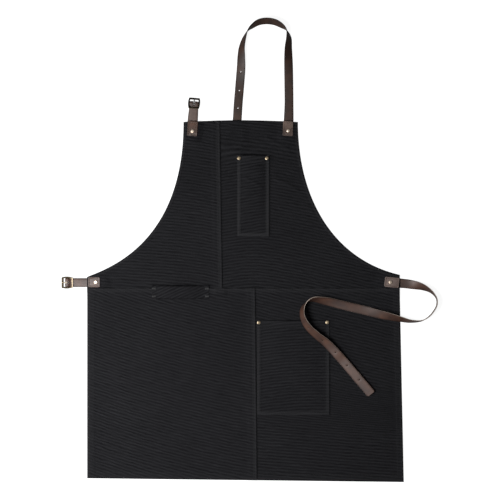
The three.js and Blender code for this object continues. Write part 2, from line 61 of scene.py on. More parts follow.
# Leather and rivets that lie under the cloth and lift it
LEATHER = 2
STRAP_WIDTH = 19.6
HALF_STRAP = STRAP_WIDTH / 2
FOLDED_STRAP_TOP = 4.2
ROOT_TAIL = 11
RIVET_TAIL_RADIUS, RIVET_TAIL_RISE = 3.8, 1.1

# Where each strap is riveted: the place, the way the strap leaves, the tab's reach either side of it and
# its shift to the side, and how far along and across from the place the rivet sits
roots = {
    "neck_left": {
        "x": -128.2, "y": 262.6, "heading": 85.5,
        "outer": 21.6, "inner": 10.7, "aside": -1.1, "rivet": (0, -1.6),
    },
    "neck_right": {
        "x": 84.8, "y": 263.4, "heading": 88,
        "outer": 21, "inner": 11.5, "aside": 0, "rivet": (0, -1.1),
    },
    "waist_left": {
        "x": -343.3, "y": -73.6, "heading": 180,
        "outer": 14.9, "inner": 11, "aside": -0.9, "rivet": (-2.2, -1.2),
    },
    "waist_right": {
        "x": 312.8, "y": -72.6, "heading": -5.5,
        "outer": 19, "inner": 13, "aside": 0, "rivet": (0, 0),
    },
}
pocket_rivets = {
    "chest_left": (-23.4, 202.6),
    "chest_right": (38.4, 202.6),
    "hip_left": (20.6, -162.3),
    "hip_right": (172.4, -161.8),
}


def clamp(value):
    return min(max(value, 0.0), 1.0)


def mix(a, b, t):
    return a + (b - a) * t


def soft_step(t):
    t = clamp(t)
    return t * t * (3 - 2 * t)


def mound(a, b=0.0):
    """A soft hump, 1 in the middle, from distances as shares of its half length and half width."""
    return max(0.0, 1 - a * a - b * b) ** 2


def cover(inside, level=1.5, fall=9):
    """1 over a piece that lies under the cloth, falling to 0 beside it."""
    return 1 - soft_step((-inside - level) / fall)


def off_line(x, y, a, b):
    """Distance of a point from the line between two others."""
    dx, dy = b[0] - a[0], b[1] - a[1]
    t = clamp(((x - a[0]) * dx + (y - a[1]) * dy) / max(dx * dx + dy * dy, 1e-9))
    return math.hypot(x - a[0] - dx * t, y - a[1] - dy * t)


def from_root(root, along, across=0.0):
    """A point measured along and across the strap from its rivet."""
    turn = math.radians(root["heading"])
    return (
        root["x"] + along * math.cos(turn) - across * math.sin(turn),
        root["y"] + along * math.sin(turn) + across * math.cos(turn),
    )


# Strap roots under the cloth: how far the strap reaches out, its height, and the spread of the lift
tucked_roots = {
    "neck_left": (20, FOLDED_STRAP_TOP, 16),
    "waist_left": (16, FOLDED_STRAP_TOP, 16),
    "neck_right": (20, LEATHER, 14),
    "waist_right": (17, LEATHER, 14),
}
NECK_STRAP_END = ((-27.4, 290), (-34, 216.5))

# All that lies under the cloth: two ends of a line, half width, height and spread of the lift
tucked = [(*NECK_STRAP_END, HALF_STRAP, LEATHER + GAP, 24)]
tucked += [(at, at, RIVET_TAIL_RADIUS, RIVET_TAIL_RISE, 14) for at in pocket_rivets.values()]
for place, (reach, height, ease) in tucked_roots.items():
    ends = [from_root(roots[place], along) for along in (-ROOT_TAIL, reach)]
    tucked.append((*ends, HALF_STRAP, height + GAP, ease))

# Soft folds: middle, heading in degrees, half length, half width and height
folds = [
    (71, 241, -32, 58, 40, 1.8),
    (18, 16, 6, 130, 48, 1.8),
    (-190, -250, 72, 240, 95, 3),
    (250, -415, 8, 150, 85, 3),
]

# Creases where the cloth was folded or pressed: two ends, half width and height
creases = [
    ((38, 249), (87, 222), 5.5, 2.0),
    ((58, 158), (106, 134), 7, 1.8),
    ((-62, 14), (112, 32), 11, 0.8),
    ((-330, -150), (-250, -420), 26, 1.0),
    ((-120, -180), (-160, -430), 24, 0.8),
    ((205, -330), (322, -372), 16, 0.8),
]


def bed(x, y):
    """Height of the lowest cloth above the table."""
    lift = max(rise * cover(half - off_line(x, y, a, b), fall=ease) for a, b, half, rise, ease in tucked)
    for middle_x, middle_y, heading, length, width, height in folds:
        turn = math.radians(heading)
        along = (x - middle_x) * math.cos(turn) + (y - middle_y) * math.sin(turn)
        across = (y - middle_y) * math.cos(turn) - (x - middle_x) * math.sin(turn)
        lift += height * mound(along / length, across / width)
    for a, b, width, height in creases:
        lift += height * mound(off_line(x, y, a, b) / width)
    wave = 0.55 * noise.noise(Vector((x / 95, y / 120, 0.3)))
    ripple = 0.14 * noise.noise(Vector((x / 31, y / 36, 4.1)))
    return lift + REST_HEIGHT + (wave + ripple)


def bib_seam(y):
    return mix(*BIB_SEAM, clamp((BIB_TOP - y) / (BIB_TOP - WAIST_SEAM)))


def above_bib_end(y):
    return y - WAIST_SEAM + LAP


def bib_left_lay(x, y):
    return bed(x, y) + LAYER * cover(min(x - bib_seam(y) + LAP, above_bib_end(y)))


def crowned(x, y):
    """The neck edge rises a little towards its middle."""
    across = (2 * x - BIB_LEFT - BIB_RIGHT) / (BIB_RIGHT - BIB_LEFT)
    near_edge = soft_step((y - BIB_TOP + CROWN_DEPTH) / CROWN_DEPTH)
    return y + BIB_CROWN * (1 - clamp(across * across)) * near_edge


def armhole(top, corner, drop, run, rise, points=420):
    """A curve that drops straight from the bib's top corner and comes in to the waist corner at a slope."""
    ends = [(*top, 0), (top[0], top[1] - drop, 0), (corner[0] + run, corner[1] + rise, 0), (*corner, 0)]
    return [point.xy for point in interpolate_bezier(*[Vector(end) for end in ends], points)]


left_armhole = armhole((BIB_LEFT, BIB_TOP), (WAIST_LEFT, LEFT_CORNER), drop=273, run=43, rise=18.3)
right_armhole = armhole((BIB_RIGHT, BIB_TOP), (WAIST_RIGHT, RIGHT_CORNER), drop=163.7, run=-152, rise=35.5)


def edge_at(curve, y):
    """Where an armhole is at a given height."""
    i = bisect.bisect([-point.y for point in curve], -y)
    a, b = curve[max(i - 1, 0)], curve[min(i, len(curve) - 1)]
    return mix(a.x, b.x, clamp((a.y - y) / max(a.y - b.y, 1e-6)))


def evenly(start, end, step=CELL):
    count = max(1, round(abs(end - start) / step))
    return [mix(start, end, i / count) for i in range(count + 1)]


def edge_tree(points):
    tree = kdtree.KDTree(len(points))
    for i, point in enumerate(points):
        tree.insert((point[0], point[1], 0), i)
    tree.balance()
    return tree


# A turned edge: how far its layers lift the face and over what width, how far the face rounds off at the
# fold, the line along which it is painted pale (wear, with a painted highlight where the turned edge
# catches light), and how much the stitching puckers the cloth
HEM_RISE, HEM_STEP = 0.7, 2.4
FOLD_DROP, FOLD_ROUND = 1.0, 1.8
PALE_LINE, PALE_HALF = 3.8, 3
PUCKER, PUCKER_REACH = 0.22, 7


def hem_shape(hems, x, y):
    """Lift of the face over turned edges, its drop where it rounds over a fold, and how pale it is painted:
    wear, with a painted highlight where the turned edge catches light.
    """
    rise, drop, wear_and_light = 0.0, 0.0, 0.0
    for tree, width, paler in hems:
        off = tree.find((x, y, 0))[2]
        rise = max(rise, HEM_RISE * (1 - soft_step((off - width + 1) / HEM_STEP)))
        drop = max(drop, FOLD_DROP * max(0.0, 1 - off / FOLD_ROUND) ** 2)
        ridge = max(0.0, 1 - ((off - PALE_LINE) / PALE_HALF) ** 2)
        band = 0.4 * (1 - soft_step((off - width + 1) / 2)) + 0.6 * ridge
        wear_and_light = max(wear_and_light, paler * band * clamp(off / 1.5))
        pucker = 1 - min(abs(off - width) / PUCKER_REACH, 1)
        rise += PUCKER * pucker * noise.noise(Vector((x / PUCKER_REACH, y / PUCKER_REACH, width)))
    return rise, drop, wear_and_light


def with_fold_lines(values):
    """Adds a line of cells close to each end, where the cloth rounds over its fold."""
    near, far = mix(values[0], values[1], 0.35), mix(values[-1], values[-2], 0.35)
    return [values[0], near, *values[1:-1], far, values[-1]]


def thicken(bm, height):
    """Raises all faces of a flat mesh, with walls round them."""
    raised = bmesh.ops.extrude_face_region(bm, geom=bm.faces[:])["geom"]
    upper = [part for part in raised if isinstance(part, bmesh.types.BMVert)]
    bmesh.ops.translate(bm, vec=(0, 0, height), verts=upper)


def slab(columns, rows):
    """A flat wall of cells, one cell thick: u and v run from 0 to 1, and z is 0 below and 1 on the face."""
    bm = bmesh.new()
    bmesh.ops.create_grid(bm, x_segments=columns, y_segments=rows, size=0.5)
    bmesh.ops.translate(bm, vec=(0.5, 0.5, 0), verts=bm.verts)
    thicken(bm, 1)
    return bm


def round_rim(bm, width):
    """Rounds the edges between a slab's faces and its rim, found while it is still flat."""
    rim = [e for e in bm.edges if len({abs(f.normal.z) > 0.5 for f in e.link_faces}) == 2]
    bmesh.ops.bevel(bm, geom=rim, offset=width, segments=2, profile=0.5, affect="EDGES", material=-1)


def mark_rim(bm):
    """Gives the rim of a flat slab the second material."""
    bm.normal_update()
    for face in bm.faces:
        face.material_index = 0 if abs(face.normal.z) > 0.5 else 1


def put_in_place(name, bm, materials, nodes=(), body="apron"):
    """Turns millimetres into metres and hands the piece to its body."""
    bmesh.ops.scale(bm, vec=(MM, MM, MM), verts=bm.verts)
    for face in bm.faces:
        face.smooth = True
    mesh = bpy.data.meshes.new(name)
    bm.to_mesh(mesh)
    bm.free()
    for material in materials:
        mesh.materials.append(material)
    piece = bpy.data.objects.new(name, mesh)
    bpy.context.scene.collection.objects.link(piece)
    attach(piece, body)
    if nodes:
        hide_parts(*nodes)
    return piece


def link(tree, *path):
    """Joins output to input along pairs of sockets."""
    for output, entry in zip(path[::2], path[1::2]):
        tree.links.new(output, entry)


def math_node(tree, operation, a, b=None):
    node = tree.nodes.new("ShaderNodeMath")
    node.operation = operation
    for socket, value in zip(node.inputs, (a, b)):
        if isinstance(value, bpy.types.NodeSocket):
            tree.links.new(value, socket)
        elif value is not None:
            socket.default_value = value
    return node.outputs[0]


def mix_colours(tree, share, a, b):
    node = tree.nodes.new("ShaderNodeMix")
    node.data_type = "RGBA"
    tree.links.new(share, node.inputs["Factor"])
    for socket, value in ((node.inputs[6], a), (node.inputs[7], b)):
        if isinstance(value, bpy.types.NodeSocket):
            tree.links.new(value, socket)
        else:
            socket.default_value = (*value, 1)
    return node.outputs[2]


def spread(tree, value, low, high):
    """Takes a value from 0 to 1 to the range from low to high."""
    node = tree.nodes.new("ShaderNodeMapRange")
    tree.links.new(value, node.inputs["Value"])
    node.inputs["To Min"].default_value = low
    node.inputs["To Max"].default_value = high
    return node.outputs["Result"]


def noise_node(tree, vector, scale, detail=2.0, stretch=None):
    if stretch:
        mapping = tree.nodes.new("ShaderNodeMapping")
        mapping.inputs["Scale"].default_value = stretch
        tree.links.new(vector, mapping.inputs["Vector"])
        vector = mapping.outputs["Vector"]
    node = tree.nodes.new("ShaderNodeTexNoise")
    node.inputs["Scale"].default_value = scale
    node.inputs["Detail"].default_value = detail
    tree.links.new(vector, node.inputs["Vector"])
    return node.outputs["Fac"]


def new_group(name, outputs):
    """A node group that takes a place on a piece and puts out values that change over its surface."""
    tree = bpy.data.node_groups.new(name, "ShaderNodeTree")
    tree.interface.new_socket("Vector", in_out="INPUT", socket_type="NodeSocketVector")
    for socket in outputs:
        tree.interface.new_socket(socket, in_out="OUTPUT", socket_type="NodeSocketFloat")
    place = tree.nodes.new("NodeGroupInput").outputs["Vector"]
    return tree, place, tree.nodes.new("NodeGroupOutput").inputs


def place_group(tree, group, vector):
    node = tree.nodes.new("ShaderNodeGroup")
    node.node_tree = group
    tree.links.new(vector, node.inputs["Vector"])
    return node.outputs


def new_material(name):
    material = bpy.data.materials.new(name)
    material.use_nodes = True
    return material, material.node_tree, material.node_tree.nodes["Principled BSDF"]


def add_bump(tree, shader, height, strength, depth):
    bump = tree.nodes.new("ShaderNodeBump")
    bump.inputs["Strength"].default_value = strength
    bump.inputs["Distance"].default_value = depth
    link(tree, height, bump.inputs["Height"], bump.outputs["Normal"], shader.inputs["Normal"])


def own_place(tree):
    """Object coordinates, in metres."""
    return tree.nodes.new("ShaderNodeTexCoord").outputs["Object"]


def own_attribute(tree, name):
    node = tree.nodes.new("ShaderNodeAttribute")
    node.attribute_name = name
    return node.outputs["Fac"]


# Canvas weave: crossing threads, a heavier weft that shows as fine ribs, and uneven yarn
THREAD = 0.0011
RIB = 0.0068
weave, at, result = new_group("Canvas weave", ["Threads", "Ribs", "Yarn"])
axes = weave.nodes.new("ShaderNodeSeparateXYZ")
weave.links.new(at, axes.inputs[0])


def thread_ridges(axis):
    wave = math_node(weave, "SINE", math_node(weave, "MULTIPLY", axis, math.pi / THREAD))
    return math_node(weave, "ABSOLUTE", wave)


warp, weft = thread_ridges(axes.outputs[0]), thread_ridges(axes.outputs[1])
over_under = weave.nodes.new("ShaderNodeTexChecker")
over_under.inputs["Scale"].default_value = 1 / THREAD
weave.links.new(at, over_under.inputs["Vector"])
crossing = weave.nodes.new("ShaderNodeMix")
weave.links.new(over_under.outputs["Fac"], crossing.inputs[0])
link(weave, warp, crossing.inputs[2], weft, crossing.inputs[3])
sway = math_node(weave, "MULTIPLY", noise_node(weave, at, 34, stretch=(1, 2, 1)), 0.0045)
jitter = math_node(weave, "MULTIPLY", noise_node(weave, at, 1, stretch=(75, 150, 1)), 0.0034)
wander = math_node(weave, "ADD", math_node(weave, "ADD", sway, jitter), axes.outputs[1])
wave = math_node(weave, "SINE", math_node(weave, "MULTIPLY", wander, 2 * math.pi / RIB))
strength = spread(weave, noise_node(weave, at, 1, stretch=(48, 120, 1)), -0.35, 1.3)
ribs = math_node(weave, "MULTIPLY_ADD", wave, strength)
ribs.node.inputs[2].default_value = 0.5
yarn = noise_node(weave, at, 1, 3, stretch=(28, 420, 1))
link(weave, crossing.outputs[0], result["Threads"], ribs, result["Ribs"], yarn, result["Yarn"])

RIB_TONE, YARN_TONE, RIB_RELIEF = 0.46, 0.45, 0.6
# The pale tone along turned edges is partly wear and partly a painted highlight where the edges catch
# light.
DYE_DEEP, DYE_LIGHT, PALE_WEAR_AND_HIGHLIGHT = (0.0042, 0.0042, 0.0048), (0.0192, 0.0192, 0.0211), (0.032, 0.032, 0.034)

canvas, tree, shader = new_material("Black canvas")
grain = tree.nodes.new("ShaderNodeUVMap")
grain.uv_map = "grain"
cloth = place_group(tree, weave, grain.outputs["UV"])
fading = noise_node(tree, own_place(tree), 9, 3)
tone = math_node(tree, "MULTIPLY", cloth["Ribs"], RIB_TONE)
tone = math_node(tree, "ADD", tone, math_node(tree, "MULTIPLY", cloth["Yarn"], YARN_TONE))
tone = math_node(tree, "MULTIPLY", tone, spread(tree, fading, 0.75, 1.25))
dyed = mix_colours(tree, tone, DYE_DEEP, DYE_LIGHT)
# Turned edges are painted paler: wear, with a painted highlight where the edge catches light.
wear_and_light = math_node(tree, "MULTIPLY", own_attribute(tree, "wear_and_painted_light"), spread(tree, cloth["Yarn"], 0.15, 0.85))
link(tree, mix_colours(tree, wear_and_light, dyed, PALE_WEAR_AND_HIGHLIGHT), shader.inputs["Base Color"])
link(tree, spread(tree, cloth["Threads"], 0.98, 0.86), shader.inputs["Roughness"])
shader.inputs["Specular IOR Level"].default_value = 0.02
relief = math_node(tree, "ADD", cloth["Threads"], math_node(tree, "MULTIPLY", cloth["Ribs"], RIB_RELIEF))
add_bump(tree, shader, relief, 0.8, 0.0004)

cloth_top = {}


def canvas_piece(name, columns, rows, across, lay, hems, weft_sag):
    """Lays a cut of canvas: across(u, y) gives the flat place, lay the height of its back."""
    shares, rows = with_fold_lines(evenly(0, 1, 1 / columns)), with_fold_lines(rows)
    bm = slab(len(shares) - 1, len(rows) - 1)
    round_rim(bm, CRISP_RIM)
    wear_and_light_layer = bm.verts.layers.float.new("wear_and_painted_light")
    shaped = {}
    for vert in bm.verts:
        u, v = round(vert.co.x * (len(shares) - 1)), round((1 - vert.co.y) * (len(rows) - 1))
        if (u, v) not in shaped:
            x, y = across(shares[u], rows[v])
            shaped[u, v] = (x, y, lay(x, y), *hem_shape(hems, x, y))
        x, y, back, rise, drop, wear_and_light = shaped[u, v]
        vert[wear_and_light_layer] = clamp(wear_and_light)
        vert.co = (x, y, back + vert.co.z * (CANVAS + rise - drop))
    bmesh.ops.recalc_face_normals(bm, faces=bm.faces)
    grain_layer = bm.loops.layers.uv.new("grain")
    for face in bm.faces:
        for loop in face.loops:
            x, y = loop.vert.co.xy
            loop[grain_layer].uv = (x * MM, (y + weft_sag(x, y)) * MM)
    cloth_top[name] = lambda x, y: lay(x, y) + CANVAS + hem_shape(hems, x, y)[0]
    return put_in_place(name, bm, [canvas], [name])


def cut_area(rows, left, right):
    """Flat area of a cut in square metres."""
    strips = zip(rows, rows[1:])
    return sum(abs(a - b) * (right((a + b) / 2) - left((a + b) / 2)) for a, b in strips) * MM * MM


def bib_left_edge(y):
    return WAIST_LEFT if y < LEFT_CORNER else edge_at(left_armhole, y)


def bib_right_edge(y):
    return WAIST_RIGHT if y < RIGHT_CORNER else edge_at(right_armhole, y)


def bib_under_edge(y):
    return bib_seam(y) - LAP


# Hem and seam fold widths, and how pale each edge is painted: wear, with a painted highlight
NECK_HEM, ARMHOLE_HEM, SEAM_FOLD = 29, 6.5, 9.5
ARMHOLE_PALE, SEAM_PALE = 0.3, 0.6

bib_end = WAIST_SEAM - LAP
neck_edge = [(x, crowned(x, BIB_TOP)) for x in evenly(BIB_LEFT, BIB_RIGHT, 1)]
bib_seam_edge = [(bib_seam(y), y) for y in evenly(BIB_TOP, bib_end, 1)]
neck_hem = (edge_tree(neck_edge), NECK_HEM, 0)
left_armhole_hem = (edge_tree(left_armhole), ARMHOLE_HEM, ARMHOLE_PALE)
right_armhole_hem = (edge_tree(right_armhole), ARMHOLE_HEM, ARMHOLE_PALE)
bib_seam_fold = (edge_tree(bib_seam_edge), SEAM_FOLD, SEAM_PALE)

right_rows = evenly(BIB_TOP, RIGHT_CORNER) + evenly(RIGHT_CORNER, bib_end)[1:]
left_rows = evenly(BIB_TOP, LEFT_CORNER) + evenly(LEFT_CORNER, bib_end)[1:]


def bib_right_across(u, y):
    x = mix(bib_under_edge(y), bib_right_edge(y), u)
    return x, crowned(x, y)


def bib_left_across(u, y):
    x = mix(bib_left_edge(y), bib_seam(y), u)
    return x, crowned(x, y)


def bib_right_sag(x, y):
    """The weft arches over the middle of the chest, and runs straight under the neck edge."""
    return mix(0.22 * math.hypot(x - 8, 45), 0.12 * x, soft_step((y - 190) / 60))


def bib_left_sag(x, y):
    """The weft is level at the side and drops towards the seam."""
    return 0.05 * x + 12.6 * math.exp((x - BIB_SEAM[0]) / 60)


bib_right = canvas_piece(
    "bib_panel_right", 104, right_rows, bib_right_across, bed,
    [neck_hem, right_armhole_hem], bib_right_sag,
)
bib_left = canvas_piece(
    "bib_panel_left", 78, left_rows, bib_left_across, bib_left_lay,
    [neck_hem, left_armhole_hem, bib_seam_fold], bib_left_sag,
)

# Skirt
# Two more panels of the same canvas, sewn over the lower edge of the bib with their top edge turned under.
# The left one laps over the right one, and the sides and the bottom are hemmed.

HEM_LEFT, HEM_RIGHT = (WAIST_LEFT, -508.2), (342.6, -516.6)
SKIRT_SEAM = (12.8, 17)


def skirt_seam(y):
    return mix(*SKIRT_SEAM, clamp((WAIST_SEAM - y) / (WAIST_SEAM - HEM_LEFT[1])))


def skirt_under_edge(y):
    return skirt_seam(y) - LAP


def skirt_side(y):
    return mix(WAIST_RIGHT, HEM_RIGHT[0], clamp((WAIST_SEAM - y) / (WAIST_SEAM - HEM_RIGHT[1])))


def hem_line(x):
    return mix(HEM_LEFT[1], HEM_RIGHT[1], (x - HEM_LEFT[0]) / (HEM_RIGHT[0] - HEM_LEFT[0]))


def hemmed(x, y):
    """Takes the level rows of the cut down to the sloping bottom edge."""
    down = clamp((WAIST_SEAM - y) / (WAIST_SEAM - HEM_LEFT[1]))
    return x, y + (hem_line(x) - HEM_LEFT[1]) * down


def skirt_right_lay(x, y):
    return bib_left_lay(x, y) + LAYER * cover(min(bib_seam(y) - x, above_bib_end(y)))


def skirt_left_lay(x, y):
    return skirt_right_lay(x, y) + LAYER * cover(min(x - skirt_under_edge(y), WAIST_SEAM - y))


def skirt_right_across(u, y):
    return hemmed(mix(skirt_under_edge(y), skirt_side(y), u), y)


def skirt_left_across(u, y):
    return hemmed(mix(WAIST_LEFT, skirt_seam(y), u), y)


def skirt_right_sag(x, y):
    """The weft drops to the right, less so near the hem."""
    return x * mix(0.08, 0.24, soft_step((y + 420) / 120))


def skirt_left_sag(x, y):
    """The weft drops steeply at the far side, easing towards the seam."""
    out = x - WAIST_LEFT
    return 0.36 * out - 0.00025 * out * out


SIDE_HEM, BOTTOM_HEM = 14, 15
WAIST_PALE, SIDE_PALE, BOTTOM_PALE = 0.5, 0.4, 0.25

skirt_rows = evenly(WAIST_SEAM, HEM_LEFT[1])
waist_edge = [(x, WAIST_SEAM) for x in evenly(WAIST_LEFT, WAIST_RIGHT, 1)]
bottom_edge = [(x, hem_line(x)) for x in evenly(HEM_LEFT[0], HEM_RIGHT[0], 1)]
left_edge = [(WAIST_LEFT, y) for y in evenly(WAIST_SEAM, HEM_LEFT[1], 1)]
right_edge = [(skirt_side(y), y) for y in evenly(WAIST_SEAM, HEM_RIGHT[1], 1)]
skirt_seam_edge = [(skirt_seam(y), y) for y in evenly(WAIST_SEAM, HEM_LEFT[1], 1)]
waist_fold = (edge_tree(waist_edge), SEAM_FOLD, WAIST_PALE)
bottom_hem = (edge_tree(bottom_edge), BOTTOM_HEM, BOTTOM_PALE)
left_hem = (edge_tree(left_edge), SIDE_HEM, SIDE_PALE)
right_hem = (edge_tree(right_edge), SIDE_HEM, SIDE_PALE)
skirt_seam_fold = (edge_tree(skirt_seam_edge), SEAM_FOLD, SEAM_PALE)

skirt_right = canvas_piece(
    "skirt_panel_right", 98, skirt_rows, skirt_right_across, skirt_right_lay,
    [waist_fold, right_hem, bottom_hem], skirt_right_sag,
)
skirt_left = canvas_piece(
    "skirt_panel_left", 112, skirt_rows, skirt_left_across, skirt_left_lay,
    [waist_fold, left_hem, bottom_hem, skirt_seam_fold], skirt_left_sag,
)

# Patch pockets
# A narrow one on the chest and a wide one on the right hip, cut from the same canvas with turned edges.
# Each is sewn down on three sides and riveted at the ends of its mouth, which stands a little open.

pockets = {
    "chest_pocket": {
        "panel": "bib_panel_right", "left": -28, "right": 44.4, "top": 209.6, "bottom": 28.7,
        "hem": 8, "mouth_hem": 14, "belly": 4.8, "margin": 6, "arch": 0.0002, "paler": 1,
    },
    "hip_pocket": {
        "panel": "skirt_panel_right", "left": 16, "right": 178, "top": -157.3, "bottom": -368.2,
        "hem": 9, "mouth_hem": 16, "belly": 5.2, "margin": 7, "arch": 0.0007, "paler": 0.65,
    },
}
hip = pockets["hip_pocket"]
POCKET_CELL = 2.4
SEWN_GAP = 0.15
MOUTH_PALE = 0.3
MOUTH_ROLL, ROLL_REACH = 2.2, 3
WEFT_SLANT = 0.18

# Creases pressed into the pockets' own cloth: two ends, half width and height
pocket_creases = [((-10, 159), (28, 139), 5, 1.9), ((60, -230), (150, -262), 14, 0.9)]


def belly(pocket, x, y):
    """How far a pocket stands off its panel: flat where it is sewn, full in the middle and at the mouth."""
    margin = pocket["margin"]
    width, height = pocket["right"] - pocket["left"], pocket["top"] - pocket["bottom"]
    across = clamp((x - pocket["left"] - margin) / (width - 2 * margin))
    up = clamp((y - pocket["bottom"] - margin) / (height - margin))
    return pocket["belly"] * (1 - abs(2 * across - 1) ** 3) ** 1.6 * (1 - (1 - up) ** 2.4)


def pocket_lay(pocket):
    panel_top = cloth_top[pocket["panel"]]

    def lay(x, y):
        pressed = sum(high * mound(off_line(x, y, a, b) / half) for a, b, half, high in pocket_creases)
        full = belly(pocket, x, y)
        rolled = MOUTH_ROLL * max(0.0, 1 - (pocket["top"] - y) / ROLL_REACH) ** 2
        return panel_top(x, y) + SEWN_GAP + full + (pressed - rolled) * full / pocket["belly"]

    return lay


def patch_pocket(name, pocket):
    left, right, top, bottom = (pocket[edge] for edge in ("left", "right", "top", "bottom"))
    sides = [(x, y) for x in (left, right) for y in evenly(top, bottom, 1)]
    sides += [(x, bottom) for x in evenly(left, right, 1)]
    mouth = [(x, top) for x in evenly(left, right, 1)]
    hems = [
        (edge_tree(sides), pocket["hem"], pocket["paler"]),
        (edge_tree(mouth), pocket["mouth_hem"], MOUTH_PALE),
    ]
    rows, columns = evenly(top, bottom, POCKET_CELL), len(evenly(left, right, POCKET_CELL)) - 1

    def across(u, y):
        return mix(left, right, u), y

    def sag(x, y):
        return pocket["arch"] * (x - left) ** 2 - WEFT_SLANT * (x - left)

    return canvas_piece(name, columns, rows, across, pocket_lay(pocket), hems, sag)


for name, pocket in pockets.items():
    pocket["piece"] = patch_pocket(name, pocket)

# Towel loop
# A doubled strip of canvas just under the waist seam, held down at its two ends by bar tacks and
# arched between them so that a towel can be pushed through.

loop = {
    "left": -217, "right": -90.3, "top": -79.8, "bottom": -110, "hem": 3,
    "arch": 5.5, "foot": 0.085, "roll": 0.6, "tacks": (-86.6, -103.8),
}
LOOP_COLUMNS, LOOP_CELL = 60, 1.7


def loop_across(u, y):
    return mix(loop["left"], loop["right"], u), y


def loop_lay(x, y):
    """Flat at its two feet, arched between them, with the upper edge rolled down."""
    along = (x - loop["left"]) / (loop["right"] - loop["left"])
    between = clamp((along - loop["foot"]) / (1 - 2 * loop["foot"]))
    arch = loop["arch"] * (1 - abs(2 * between - 1) ** 2.6) ** 1.5
    middle = (loop["top"] + loop["bottom"]) / 2
    rolled = loop["roll"] * arch * max(0.0, (y - middle) / (loop["top"] - middle)) ** 8
    under = max(cloth_top["skirt_panel_left"](x, min(y, WAIST_SEAM - 1)), skirt_left_lay(x, y))
    return under + SEWN_GAP + arch - rolled


def loop_sag(x, y):
    """The strip is cut off the straight, so that its weft rises to the right."""
    return -0.45 * x


loop_edges = [(x, y) for y in (loop["top"], loop["bottom"]) for x in evenly(loop["left"], loop["right"], 1)]
loop_hem = (edge_tree(loop_edges), loop["hem"], 0)
loop_rows = evenly(loop["top"], loop["bottom"], LOOP_CELL)
towel_loop = canvas_piece(
    "towel_loop", LOOP_COLUMNS, loop_rows, loop_across, loop_lay, [loop_hem], loop_sag
)

# Sewing thread on the canvas
# Black thread: one row along each hem and both edges of the towel loop, two rows along each lapped seam and
# round the pockets. The loop's two rows are a darker, duller thread laid wide, and paint the shadow lines
# along its edges. Short, dense bar tacks of a greyer thread hold the corners of the loop; their grey is
# painted sheen.

STITCH, STITCH_PITCH, STITCH_HALF, STITCH_RISE, STITCH_LIFT = 2.7, 3.5, 0.36, 0.26, 0.05
SEAM_ROWS, POCKET_ROWS, ARMHOLE_ROW = (2.6, 8.2), (2.4, 7.4), 5.2
ROW_INSIDE = 0.6
ROW_STEP = 4

twist, at, result = new_group("Thread twist", ["Strands", "Fuzz"])
strands = twist.nodes.new("ShaderNodeTexWave")
strands.inputs["Scale"].default_value = 900
strands.bands_direction = "DIAGONAL"
twist.links.new(at, strands.inputs["Vector"])
link(twist, strands.outputs["Fac"], result["Strands"], noise_node(twist, at, 700), result["Fuzz"])


def thread_material(name, deep, light, specular=0.15):
    material, tree, shader = new_material(name)
    strand = place_group(tree, twist, own_place(tree))
    shade = math_node(tree, "MULTIPLY", strand["Strands"], strand["Fuzz"])
    link(tree, mix_colours(tree, shade, deep, light), shader.inputs["Base Color"])
    link(tree, spread(tree, strand["Fuzz"], 0.6, 0.85), shader.inputs["Roughness"])
    shader.inputs["Specular IOR Level"].default_value = specular
    add_bump(tree, shader, strand["Strands"], 0.5, 0.0001)
    return material


black_thread = thread_material("Black thread", (0.010, 0.010, 0.011), (0.032, 0.032, 0.034))
# Near-black, dull thread for the loop's edge rows: real stitching that also paints the shadow along the
# loop's edges.
shadow_thread = thread_material("Loop thread painted as shadow", (0.0015, 0.0015, 0.0016), (0.004, 0.004, 0.0042), 0.02)
# The tacks' grey colour is painted sheen on the dense thread.
grey_thread = thread_material("Tack thread", (0.024, 0.024, 0.0245), (0.078, 0.078, 0.079))


def sew(bm, line, top, length=STITCH, pitch=STITCH_PITCH, half=STITCH_HALF):
    """Lays stitches along a line of points, each on the surface that top(x, y) gives."""
    points = [Vector((p[0], p[1])) for p in line]
    walked = [0.0]
    for a, b in zip(points, points[1:]):
        walked.append(walked[-1] + (b - a).length)
    for k in range(int(walked[-1] / pitch)):
        ends = []
        for reach in (-length / 2, length / 2):
            s = (k + 0.5) * pitch + reach
            i = min(max(bisect.bisect(walked, s), 1), len(points) - 1)
            t = (s - walked[i - 1]) / max(walked[i] - walked[i - 1], 1e-9)
            at = points[i - 1].lerp(points[i], t)
            ends.append(Vector((at.x, at.y, top(at.x, at.y) + STITCH_LIFT)))
        turn = (ends[1] - ends[0]).to_track_quat("X", "Z").to_matrix().to_4x4()
        size = Matrix.Diagonal((length / 2, half, STITCH_RISE, 1))
        spot = Matrix.Translation((ends[0] + ends[1]) / 2) @ turn @ size
        bmesh.ops.create_icosphere(bm, subdivisions=1, radius=1, matrix=spot)


def beside(curve, inset):
    """A curve moved sideways, to the left of its run for a positive inset."""
    line = []
    for a, b in zip(curve, curve[1:]):
        ahead = (Vector(b) - Vector(a)).normalized()
        line.append(Vector(a) + Vector((-ahead.y, ahead.x)) * inset)
    return line


def upright(edge, inset, high, low):
    """A row beside an edge that runs down the cloth."""
    return [(edge(y) + inset, y) for y in evenly(high, low, ROW_STEP)]


def level(edge, inset, left, right):
    """A row beside an edge that runs across the cloth."""
    return [(x, edge(x) + inset) for x in evenly(left + 1, right - 1, ROW_STEP)]


bib_thread = bmesh.new()
bib_tops = (cloth_top["bib_panel_left"], cloth_top["bib_panel_right"])


def bib_top(x, y):
    return bib_tops[0](x, y) if x < bib_seam(y) else bib_tops[1](x, y)


